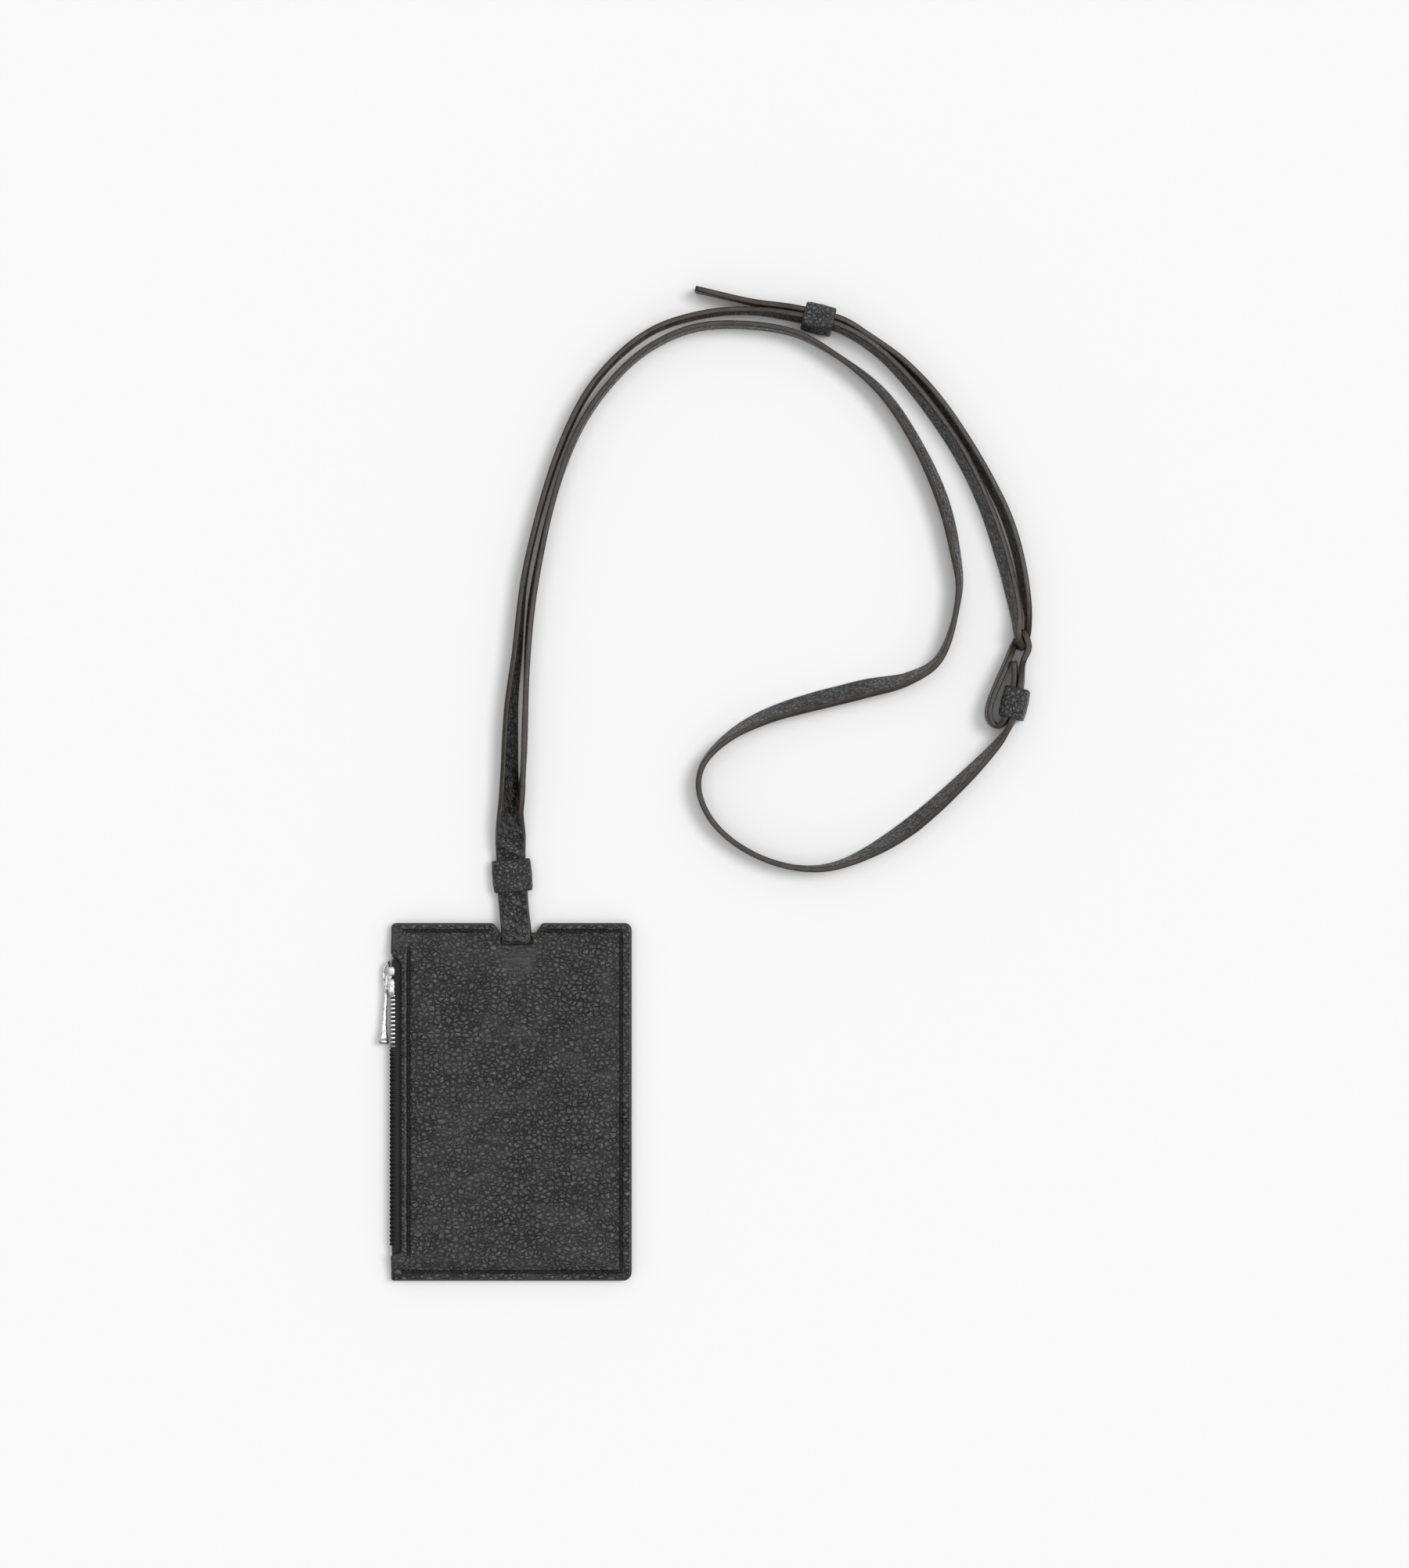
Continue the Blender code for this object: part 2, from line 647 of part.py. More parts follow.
def make_keeper(name, placing, material, group):
    """A leather loop round two layers of strap, with its origin on the line it slides along."""
    x, y, heading, lean, length, slack = placing
    outlines = []
    for (close_fit, tall), radius in ((KEEPER_OUTSIDE, KEEPER_CORNER), (KEEPER_INSIDE, 0.5)):
        across = close_fit + slack
        corners = [
            (-across / 2, -tall / 2, radius),
            (across / 2, -tall / 2, radius),
            (across / 2, tall / 2, radius),
            (-across / 2, tall / 2, radius),
        ]
        outlines.append(rounded_outline(corners, 3))
    forward = Vector((math.cos(math.radians(heading)), math.sin(math.radians(heading)), 0))
    left = Vector((-forward.y, forward.x, 0))
    tilt = math.radians(lean)
    tall_axis = Vector((0, 0, 1)) * math.cos(tilt) + left * math.sin(tilt)
    across_axis = tall_axis.cross(forward)
    turned = Matrix((across_axis, tall_axis, forward)).transposed().to_4x4()
    place = Matrix.Translation((x * MM, y * MM, keeper_height(placing) * MM)) @ turned
    return plate(name, outlines, length, place, material, group)


def main():
    clear_scene()
    parts = collection_named("neck_pouch_wallet")
    cutters = collection_named("cutters")
    leather = material_named("leather", LEATHER_BLACK, 0.55)
    strap_leather = material_named("strap_leather", LEATHER_EDGE, 0.5)
    lining = material_named("lining", LINING_GREY, 0.9)
    tape = material_named("zip_tape", TAPE_BLACK, 0.85)
    teeth = material_named("zip_teeth", GUNMETAL, 0.4, 1.0)
    nickel = material_named("nickel", NICKEL, 0.22, 1.0)

    make_panel("front_panel", POUCH_DEPTH, -1, leather, parts, cutters)
    make_panel("back_panel", 0.0, 1, leather, parts, cutters)
    make_flat_layers(tape, lining, parts)
    make_teeth(teeth, parts)
    make_stops(teeth, parts)
    make_slider(nickel, parts, cutters)
    make_crown(nickel, parts)
    make_puller(nickel, parts, cutters)
    make_strap(strap_leather, parts)
    make_keeper("keeper_pouch", POUCH_KEEPER, strap_leather, parts)
    make_keeper("keeper_tail", TAIL_KEEPER, strap_leather, parts)
    make_keeper("keeper_adjuster", ADJUSTER_KEEPER, strap_leather, parts)


main()
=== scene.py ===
"""Looks of the neck pouch wallet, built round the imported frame.

The axes are the frame's own: +X right, +Y to the top edge and +Z out of the front.
"""

import math

import bmesh
import bpy
import numpy as np
from mathutils import Matrix, Vector
from mathutils.geometry import delaunay_2d_cdt


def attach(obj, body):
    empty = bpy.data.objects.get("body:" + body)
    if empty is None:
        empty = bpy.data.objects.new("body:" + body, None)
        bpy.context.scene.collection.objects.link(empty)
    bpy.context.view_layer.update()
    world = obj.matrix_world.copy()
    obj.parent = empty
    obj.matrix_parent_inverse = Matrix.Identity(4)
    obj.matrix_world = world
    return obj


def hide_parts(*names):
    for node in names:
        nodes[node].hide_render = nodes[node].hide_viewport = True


MM = 0.001

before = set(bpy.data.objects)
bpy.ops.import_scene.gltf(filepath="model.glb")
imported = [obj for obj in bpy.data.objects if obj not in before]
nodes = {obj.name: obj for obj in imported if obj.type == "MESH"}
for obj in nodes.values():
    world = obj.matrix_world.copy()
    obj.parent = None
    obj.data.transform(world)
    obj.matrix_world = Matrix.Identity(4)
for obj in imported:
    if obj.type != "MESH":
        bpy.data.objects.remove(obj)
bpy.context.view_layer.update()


# ---------------------------------------------------------------- camera, lights and floor

CAMERA_AT = (64.25, 105.8, 1236.2)
LENS = 85
SENSOR_WIDTH = 36
FLOOR_SIZE = 6000.0
FLOOR_DEPTH = 0.02
FLOOR_COLOUR = (0.86, 0.86, 0.86, 1)
WORLD_LIGHT = 0.40


def add_object(name, data):
    """A new object in the scene."""
    item = bpy.data.objects.new(name, data)
    bpy.context.scene.collection.objects.link(item)
    return item


def make_camera():
    """A camera straight above, as far off as the part's perspective asks for."""
    lens = bpy.data.cameras.new("camera")
    lens.lens = LENS
    lens.sensor_width = SENSOR_WIDTH
    lens.clip_start = 0.05
    lens.clip_end = 20
    camera = add_object("camera", lens)
    camera.location = [value * MM for value in CAMERA_AT]
    bpy.context.scene.camera = camera


make_camera()


def make_sun(name, direction, strength, angle):
    """A soft far light that shines from the direction, angle degrees wide."""
    data = bpy.data.lights.new(name, "SUN")
    data.energy = strength
    data.angle = math.radians(angle)
    light = add_object(name, data)
    light.rotation_euler = Vector(direction).normalized().to_track_quat("Z", "Y").to_euler()


def make_stage():
    """A plain pale floor under two soft suns, one high on the right and one overhead."""
    faces = bmesh.new()
    bmesh.ops.create_grid(faces, x_segments=1, y_segments=1, size=FLOOR_SIZE / 2 * MM)
    mesh = bpy.data.meshes.new("floor")
    faces.to_mesh(mesh)
    faces.free()
    floor = add_object("floor", mesh)
    floor.location.z = -FLOOR_DEPTH * MM
    material = bpy.data.materials.new("floor")
    material.use_nodes = True
    shader = material.node_tree.nodes["Principled BSDF"]
    shader.inputs["Base Color"].default_value = FLOOR_COLOUR
    shader.inputs["Roughness"].default_value = 0.95
    shader.inputs["Specular IOR Level"].default_value = 0.1
    mesh.materials.append(material)

    world = bpy.data.worlds.new("studio")
    world.use_nodes = True
    background = world.node_tree.nodes["Background"]
    background.inputs["Color"].default_value = (1, 1, 1, 1)
    background.inputs["Strength"].default_value = WORLD_LIGHT
    bpy.context.scene.world = world
    make_sun("key", (0.42, 0.16, 0.89), 1.15, 22)
    make_sun("overhead", (0.05, 0.04, 1.0), 1.2, 60)
    bpy.context.scene.view_settings.view_transform = "Standard"


make_stage()


# ---------------------------------------------------------------- materials


class Shader:
    """A Principled material, with short ways to add procedural nodes to it."""

    def __init__(self, name, colour, roughness, **sockets):
        self.material = bpy.data.materials.new(name)
        self.material.use_nodes = True
        self.tree = self.material.node_tree
        self.bsdf = self.tree.nodes["Principled BSDF"]
        self.bsdf.inputs["Base Color"].default_value = (*colour, 1)
        self.bsdf.inputs["Roughness"].default_value = roughness
        for socket, value in sockets.items():
            self.bsdf.inputs[socket.replace("_", " ")].default_value = value

    def node(self, kind, **settings):
        node = self.tree.nodes.new(kind)
        for name, value in settings.items():
            setattr(node, name, value)
        return node

    def link(self, source, target):
        self.tree.links.new(source, target)

    def coordinates(self, scale=(1, 1, 1), turn=0.0):
        """The object's own coordinates, turned by turn degrees and then scaled."""
        source = self.node("ShaderNodeTexCoord").outputs["Object"]
        if tuple(scale) == (1, 1, 1):
            return source
        if turn:
            turned = self.node("ShaderNodeMapping")
            turned.inputs["Rotation"].default_value = (0, 0, math.radians(-turn))
            self.link(source, turned.inputs["Vector"])
            source = turned.outputs["Vector"]
        mapping = self.node("ShaderNodeMapping")
        mapping.inputs["Scale"].default_value = scale
        self.link(source, mapping.inputs["Vector"])
        return mapping.outputs["Vector"]

    def noise(self, vector, size_mm, detail=3.0, roughness=0.5, colour=False):
        """Noise whose features are about size_mm across."""
        node = self.node("ShaderNodeTexNoise")
        node.inputs["Scale"].default_value = 1 / (size_mm * MM)
        node.inputs["Detail"].default_value = detail
        node.inputs["Roughness"].default_value = roughness
        self.link(vector, node.inputs["Vector"])
        return node.outputs["Color" if colour else "Fac"]

    def cells(self, vector, size_mm, feature="F1"):
        """Distances in a pattern of cells about size_mm across."""
        node = self.node("ShaderNodeTexVoronoi", feature=feature)
        node.inputs["Scale"].default_value = 1 / (size_mm * MM)
        self.link(vector, node.inputs["Vector"])
        return node.outputs["Distance"]

    def math(self, operation, a, b=None, c=None):
        """The result of a Math node, each input a number or another node's output."""
        node = self.node("ShaderNodeMath", operation=operation)
        for socket, value in zip(node.inputs, (a, b, c)):
            if value is None:
                continue
            if isinstance(value, (int, float)):
                socket.default_value = value
            else:
                self.link(value, socket)
        return node.outputs[0]

    def remap(self, value, low, high, to_low=0.0, to_high=1.0):
        """The value eased from low..high to to_low..to_high."""
        node = self.node("ShaderNodeMapRange", interpolation_type="SMOOTHSTEP")
        self.link(value, node.inputs["Value"])
        node.inputs["From Min"].default_value = low
        node.inputs["From Max"].default_value = high
        node.inputs["To Min"].default_value = to_low
        node.inputs["To Max"].default_value = to_high
        return node.outputs["Result"]

    def ramp(self, value, stops):
        """A colour for the value, from stops of (position, colour)."""
        node = self.node("ShaderNodeValToRGB")
        elements = node.color_ramp.elements
        while len(elements) < len(stops):
            elements.new(0.5)
        for element, (position, colour) in zip(elements, stops):
            element.position = position
            element.color = (*colour, 1)
        self.link(value, node.inputs["Fac"])
        return node.outputs["Color"]

    def shift(self, vector, amount, size_mm):
        """The vector moved about by noise, so that a pattern on it isn't regular."""
        wander = self.node("ShaderNodeVectorMath", operation="MULTIPLY_ADD")
        self.link(self.noise(vector, size_mm, 2.0, colour=True), wander.inputs[0])
        wander.inputs[1].default_value = (amount * MM,) * 3
        self.link(vector, wander.inputs[2])
        return wander.outputs["Vector"]

    def bump(self, height, distance_mm, strength=1.0):
        node = self.node("ShaderNodeBump")
        node.inputs["Strength"].default_value = strength
        node.inputs["Distance"].default_value = distance_mm * MM
        self.link(height, node.inputs["Height"])
        return node.outputs["Normal"]

    def finish(self, colour, roughness, normal):
        """Links what the material is made of; a roughness of None stays the material's own number."""
        self.link(colour, self.bsdf.inputs["Base Color"])
        if roughness is not None:
            self.link(roughness, self.bsdf.inputs["Roughness"])
        self.link(normal, self.bsdf.inputs["Normal"])
        return self.material


# The leather's colour along its relief: the dark low end is painted shade in the creases, the light high end
# a painted highlight on the pebbles' tops
LEATHER_TONES = [(0.06, 0.003), (0.34, 0.026), (0.78, 0.070)]


def leather(name, grain_mm, stretch, depth_mm, level=1.0, turn=0.0, creased=0.3, shine=0.5, calm=()):
    """Soft black leather: domed pebbles parted by creases, raised more in some patches than in others; its
    colour is darker in the creases and wrinkles as painted shade and lighter on the pebbles' tops as a
    painted highlight.

    level scales its colour, turn is the heading of its wrinkles, creased their depth and shine its gloss.
    calm lists the spots (x, y, z, radius) that are pressed smooth.
    """
    s = Shader(name, (0.04, 0.04, 0.04), 0.45, Specular_IOR_Level=shine)
    place = s.coordinates(stretch)
    wandering = s.shift(place, grain_mm * 1.1, grain_mm * 1.4)
    creases = s.remap(s.cells(wandering, grain_mm, "DISTANCE_TO_EDGE"), 0.0, 0.2)
    domes = s.remap(s.cells(wandering, grain_mm), 0.05, 0.8, 1.0, 0.0)
    small = s.remap(s.cells(wandering, grain_mm * 0.5, "DISTANCE_TO_EDGE"), 0.0, 0.3)
    pebbles = s.math("MULTIPLY", creases, s.math("MULTIPLY_ADD", domes, 0.6, 0.4))
    grain = s.math("MULTIPLY_ADD", small, 0.2, s.math("MULTIPLY", pebbles, 0.8))
    raised = s.remap(s.noise(place, 13.0, 3.0, 0.6), 0.38, 0.62, 0.55, 1.0)
    for x, y, z, radius in calm:
        away = s.node("ShaderNodeVectorMath", operation="DISTANCE")
        s.link(s.coordinates(), away.inputs[0])
        away.inputs[1].default_value = (x * MM, y * MM, z * MM)
        fade = s.remap(away.outputs["Value"], radius * 0.4 * MM, radius * MM, 0.25, 1.0)
        raised = s.math("MULTIPLY", raised, fade)
    relief = s.math("MULTIPLY", grain, raised)
    even = s.math("MULTIPLY_ADD", s.math("SUBTRACT", grain, 0.32), raised, 0.32)
    wrinkles = s.remap(s.noise(s.coordinates((0.45, 1.8, 1.0), turn), 3.2, 3.0, 0.65), 0.38, 0.58)
    folded = s.math("MULTIPLY_ADD", wrinkles, creased, relief)
    pores = s.noise(place, 0.3, 3.0, 0.6)
    height = s.math("MULTIPLY_ADD", pores, 0.06, folded)
    normal = s.bump(height, depth_mm)
    # Painted shade and highlight: the wrinkles' troughs are darkened and their crests lightened
    wrinkled = s.math("MULTIPLY", s.math("SUBTRACT", wrinkles, 0.5), creased * 0.4)
    shade = s.math("MULTIPLY_ADD", even, 0.85, wrinkled)
    tone = s.math("MULTIPLY_ADD", s.noise(place, 21.0, 3.0), 0.08, shade)
    stops = [(position, (level * value,) * 3) for position, value in LEATHER_TONES]
    colour = s.ramp(tone, stops)
    rough = s.remap(relief, 0.0, 0.7, 0.60, 0.30)
    return s.finish(colour, rough, normal)


def painted_edge():
    """The painted cut edge of the leather: smooth, a little brown, slightly uneven."""
    s = Shader("painted_edge", (0.04, 0.036, 0.034), 0.45, Specular_IOR_Level=0.45)
    place = s.coordinates()
    uneven = s.noise(place, 2.6, 4.0, 0.65)
    fine = s.noise(place, 0.45, 3.0, 0.6)
    colour = s.ramp(uneven, [(0.3, (0.015, 0.0128, 0.0112)), (0.7, (0.039, 0.032, 0.027))])
    rough = s.remap(fine, 0.3, 0.7, 0.36, 0.58)
    height = s.math("MULTIPLY_ADD", fine, 0.4, uneven)
    return s.finish(colour, rough, s.bump(height, 0.12, 0.8))


def suede():
    """The leather's flesh side: matt, fibrous and a little lighter."""
    s = Shader("flesh_side", (0.06, 0.058, 0.056), 0.9, Sheen_Weight=0.2)
    place = s.coordinates()
    fibres = s.noise(place, 0.4, 5.0, 0.7)
    colour = s.ramp(fibres, [(0.3, (0.035, 0.034, 0.033)), (0.7, (0.085, 0.083, 0.08))])
    return s.finish(colour, None, s.bump(fibres, 0.1, 0.7))


# A Wave texture's scale for one band in each metre
WAVE_TURN = 0.314
THREAD_TWIST = 0.35


def woven(name, colour, pitch_mm):
    """A close plain weave."""
    s = Shader(name, colour, 0.9, Sheen_Weight=0.15)
    place = s.coordinates()
    waves = []
    for direction in ("X", "Y"):
        wave = s.node("ShaderNodeTexWave", bands_direction=direction)
        wave.inputs["Scale"].default_value = WAVE_TURN / (pitch_mm * MM)
        wave.inputs["Distortion"].default_value = 0.6
        s.link(place, wave.inputs["Vector"])
        waves.append(wave.outputs["Fac"])
    weave = s.math("MULTIPLY", *waves)
    fuzz = s.noise(place, 0.25, 3.0, 0.7)
    height = s.math("MULTIPLY_ADD", fuzz, 0.4, weave)
    shade = s.math("MULTIPLY_ADD", weave, 0.5, s.math("MULTIPLY", fuzz, 0.4))
    dark = tuple(c * 0.55 for c in colour)
    light = tuple(c * 1.35 for c in colour)
    tinted = s.ramp(shade, [(0.1, dark), (0.8, light)])
    return s.finish(tinted, None, s.bump(height, 0.12, 0.8))


def thread():
    """Waxed black sewing thread with its twist."""
    s = Shader("thread", (0.015, 0.015, 0.015), 0.6, Specular_IOR_Level=0.25)
    place = s.coordinates()
    wave = s.node("ShaderNodeTexWave", bands_direction="DIAGONAL")
    wave.inputs["Scale"].default_value = WAVE_TURN / (THREAD_TWIST * MM)
    s.link(place, wave.inputs["Vector"])
    colour = s.ramp(wave.outputs["Fac"], [(0.2, (0.007, 0.006, 0.006)), (0.8, (0.026, 0.023, 0.022))])
    return s.finish(colour, None, s.bump(wave.outputs["Fac"], 0.06, 0.7))


def polished_metal(name, colour, roughness):
    """Plated metal with faint wear and tiny dents."""
    s = Shader(name, colour, roughness, Metallic=1.0)
    place = s.coordinates()
    wear = s.noise(place, 2.0, 2.0, 0.5)
    scratches = s.noise(s.coordinates((6, 0.6, 6)), 0.8, 3.0, 0.6)
    worn = s.math("MULTIPLY_ADD", scratches, 0.4, s.math("MULTIPLY", wear, 0.6))
    rough = s.remap(worn, 0.3, 0.7, roughness * 0.7, roughness * 1.7)
    dull = tuple(c * 0.5 for c in colour)
    tint = s.ramp(wear, [(0.36, dull), (0.52, colour)])
    height = s.math("MULTIPLY_ADD", scratches, 0.3, wear)
    return s.finish(tint, rough, s.bump(height, 0.38))


# Where along the zip the teeth's colour turns light, as a painted reflection of the puller beside them
REFLECTION_Y = (15.0, 22.0)


def tooth_metal():
    """The teeth: dark plated metal, lighter towards the slider as a painted reflection of the puller beside
    them.
    """
    s = Shader("tooth_metal", (0.2, 0.2, 0.21), 0.3, Metallic=1.0)
    place = s.coordinates()
    along = s.node("ShaderNodeSeparateXYZ")
    s.link(place, along.inputs["Vector"])
    reflection = s.remap(along.outputs["Y"], REFLECTION_Y[0] * MM, REFLECTION_Y[1] * MM)
    uneven = s.noise(place, 1.1, 3.0, 0.6)
    mixed = s.math("MULTIPLY_ADD", uneven, 0.3, s.math("MULTIPLY", reflection, 0.75))
    stops = [(0.1, (0.008, 0.008, 0.009)), (0.4, (0.03, 0.03, 0.031)), (0.85, (0.5, 0.5, 0.5))]
    colour = s.ramp(mixed, stops)
    rough = s.remap(uneven, 0.3, 0.7, 0.22, 0.42)
    return s.finish(colour, rough, s.bump(uneven, 0.04, 0.5))


CALM_SPOTS = [(2.5, 48.0, 7.1, 9.0), (-38.6, 54.5, 6.0, 5.5)]
LEATHER = leather("pebbled_leather", 1.75, (0.92, 1.18, 0.5), 0.8, level=1.15, calm=CALM_SPOTS)
STRAP_LEATHER = leather("strap_leather", 1.5, (1.0, 1.0, 1.0), 0.6, turn=-38.0, creased=1.0, level=1.15)
POUCH_KEEPER_LEATHER = leather("pouch_keeper_leather", 1.4, (1.0, 1.0, 1.0), 0.45, level=0.86)
KEEPER_LEATHER = leather("keeper_leather", 1.4, (1.0, 1.0, 1.0), 0.45, level=1.35)
EDGE_PAINT = painted_edge()
SUEDE = suede()
# A darker copy of the leather: painted shade in the seams' grooves and on the folded rim beside the zip
SHADE_LEATHER = leather("painted_shade_leather", 0.9, (1.0, 1.0, 1.0), 0.15, level=0.4, shine=0.2)
# A smoother, lighter copy of the leather for the fold's ridge beside the zip; its lightness is a painted
# highlight
HIGHLIGHT_LEATHER = leather("fold_ridge_painted_highlight", 0.9, (1.0, 1.0, 1.0), 0.10, level=1.8)
LINING_CLOTH = woven("lining_cloth", (0.10, 0.10, 0.11), 0.55)
TAPE_CLOTH = woven("tape_cloth", (0.014, 0.014, 0.015), 0.6)
THREAD = thread()
NICKEL = polished_metal("polished_nickel", (0.82, 0.82, 0.83), 0.17)
DULL_NICKEL = polished_metal("dull_nickel", (0.5, 0.5, 0.51), 0.26)
TOOTH_METAL = tooth_metal()


# ---------------------------------------------------------------- small tools


def eased(t):
    """A soft step from 0 to 1."""
    t = np.clip(t, 0.0, 1.0)
    return t * t * (3 - 2 * t)


def finish_piece(item, body, slot, *replaced):
    """Smooths the piece, rides it on its body and hides the frame's pieces that it replaces; its slot is not
    used.
    """
    item.data.polygons.foreach_set("use_smooth", [True] * len(item.data.polygons))
    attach(item, body)
    if replaced:
        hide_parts(*replaced)
    return item


def mesh_object(name, points, faces, materials, face_slots=None):
    """An object from points in millimetres."""
    mesh = bpy.data.meshes.new(name)
    mesh.from_pydata((np.asarray(points, float) * MM).tolist(), [], faces)
    for material in materials:
        mesh.materials.append(material)
    if face_slots is not None:
        mesh.polygons.foreach_set("material_index", face_slots)
    mesh.validate()
    mesh.update()
    return add_object(name, mesh)


def rounded_outline(corners, arc_steps=6):
    """The outline's points, with each corner (x, y, radius) turned into an arc."""
    points = []
    for i, (x, y, radius) in enumerate(corners):
        here = Vector((x, y))
        before = (Vector(corners[i - 1][:2]) - here).normalized()
        after = (Vector(corners[(i + 1) % len(corners)][:2]) - here).normalized()
        half = before.angle(after) / 2
        centre = here + (before + after).normalized() * (radius / math.sin(half))
        start = here + before * (radius / math.tan(half)) - centre
        end = here + after * (radius / math.tan(half)) - centre
        turn = start.angle_signed(end)
        for step in range(arc_steps + 1):
            points.append(centre + Matrix.Rotation(-turn * step / arc_steps, 2) @ start)
    return np.array([tuple(point) for point in points])


def resampled(loop, step):
    """The closed loop with no two neighbours further apart than step."""
    points = []
    for here, after in zip(loop, np.roll(loop, -1, axis=0)):
        count = max(1, math.ceil(np.linalg.norm(after - here) / step))
        for k in range(count):
            points.append(here + (after - here) * k / count)
    return np.array(points)


def inset(loop, depth):
    """The loop's points moved in by depth, square to the loop."""
    along = np.roll(loop, -1, axis=0) - np.roll(loop, 1, axis=0)
    along /= np.linalg.norm(along, axis=1)[:, None]
    return loop + depth * np.column_stack([-along[:, 1], along[:, 0]])


def ring_faces(rings, around, first=0, closed=False):
    """The faces between rings of points that follow each other in a list, and the two ends' unless closed."""
    faces = []
    for i in range(rings if closed else rings - 1):
        here, after = first + i * around, first + (i + 1) % rings * around
        for k in range(around):
            m = (k + 1) % around
            faces.append((here + k, here + m, after + m, after + k))
    if not closed:
        last = first + (rings - 1) * around
        faces.append(tuple(range(first, first + around))[::-1])
        faces.append(tuple(range(last, last + around)))
    return faces


def face_outwards(item):
    """Turns the faces that look into the piece."""
    mesh = bmesh.new()
    mesh.from_mesh(item.data)
    bmesh.ops.recalc_face_normals(mesh, faces=mesh.faces)
    mesh.to_mesh(item.data)
    mesh.free()


# ---------------------------------------------------------------- the strap

STRAP_WIDTH = 9.7
STRAP_THICK = 1.8
STRAP_CORNER = 0.42
STRAP_CROWN = 0.06
GAP = 0.3
FLOOR_CLEARANCE = 0.05
LOWEST_Z = 0.02
KEEPER_WALL = 1.1
KEEPER_CLEARANCE = 0.35
KEEPER_CORNER = 1.6
KEEPER_BEND = 2.3
KEEPER_INSIDE = (2 * STRAP_THICK + GAP + 2 * KEEPER_CLEARANCE, STRAP_WIDTH + 2 * KEEPER_CLEARANCE)
KEEPER_OUTSIDE = (KEEPER_INSIDE[0] + 2 * KEEPER_WALL, KEEPER_INSIDE[1] + 2 * KEEPER_WALL)
POUCH_KEEPER = (0.2, 75.3, 94.6, 90.0, 10.7, 0.0)
TAIL_KEEPER = (102.1, 260.2, -14.0, 7.0, 10.2, 0.8)
ADJUSTER_KEEPER = (167.2, 132.6, 76.6, 8.0, 10.2, 1.3)
STRAP_STEP = 1.2


def keeper_height(placing):
    """The height of a keeper's middle when its lowest corner is on the ground."""
    lean, slack = placing[3], placing[5]
    standing = abs(math.cos(math.radians(lean))) * (KEEPER_OUTSIDE[1] / 2 - KEEPER_CORNER)
    lying = abs(math.sin(math.radians(lean))) * ((KEEPER_OUTSIDE[0] + slack) / 2 - KEEPER_CORNER)
    return standing + lying + KEEPER_CORNER


def strip_height(lean):
    """The height of the strap's middle when its lowest edge is on the ground."""
    standing = abs(math.cos(math.radians(lean))) * (STRAP_WIDTH - STRAP_THICK) / 2
    return standing + STRAP_THICK / 2 + FLOOR_CLEARANCE


TAIL_LIFT = keeper_height(TAIL_KEEPER) - strip_height(5)
ADJUSTER_LIFT = keeper_height(ADJUSTER_KEEPER) - strip_height(8)
LOWER_LIFT = keeper_height(POUCH_KEEPER) - strip_height(90) - (STRAP_THICK + GAP) / 2
UPPER_LIFT = LOWER_LIFT + STRAP_THICK + GAP

# The route, as in the frame's own strap: x, y, lean, lift, gather
TAIL_SIDE = [
    (61.3, 270.3, -3, 0, 1),
    (80.0, 266.0, -3, 0.2, 1),
    (94.9, 263.1, 5, TAIL_LIFT, 1),
    (109.8, 259.4, 5, TAIL_LIFT, 1),
    (118.0, 255.0, 0, 0.8, 1),
    (130.9, 245.5, 3, 0, 1),
    (144.7, 229.9, 5, 0, 1),
    (162.9, 198.8, 8, 0, 1),
    (168.2, 183.6, 8, 0, 1),
    (171.1, 168.3, 6, 0, 1),
    (172.0, 160.5, 0, 0, 0.8),
    (171.6, 154.6, 0, 0, 0.48),
    (170.0, 151.6, 0, 2.4, 0.48),
    (168.4, 154.6, 0, 5.0, 0.48),
    (168.2, 161.0, -12, 1.4, 0.8),
    (164.1, 179.4, -17, 0, 1),
    (156.9, 200.4, -15, 0, 1),
    (146.1, 221.0, -14, 0, 1),
    (124.3, 247.7, -7, 0.3, 1),
    (109.3, 257.3, -5, TAIL_LIFT, 1),
    (94.4, 261.0, -5, TAIL_LIFT, 1),
    (80.1, 263.1, 0, 0.2, 1),
    (64.5, 262.1, 0, 0, 1),
    (46.2, 256.1, 0, 0, 1),
    (28.8, 240.8, 0, 0, 1),
    (17.2, 220.0, 0, 0, 1),
    (5.2, 178.8, 0, 0, 1),
    (1.7, 147.5, -9, 0, 1),
    (0.0, 132.0, -16, 0, 1),
    (-0.8, 101.0, -33, 0.3, 1),
    (-0.8, 93.5, -46, 1.6, 1),
    (-0.6, 88.0, -68, 3.1, 1),
    (-0.3, 83.3, -90, UPPER_LIFT, 1),
    (0.2, 75.3, -90, UPPER_LIFT, 1),
    (0.6, 67.0, -90, UPPER_LIFT, 1),
    (1.6, 56.3, -90, 5.15, 1),
]
SLIT_FOLD = [(54.55, 6.1, -90), (53.85, 5.2, -90), (53.85, 1.9, 90), (54.55, 1.0, 90)]
SLIT_X = 1.8
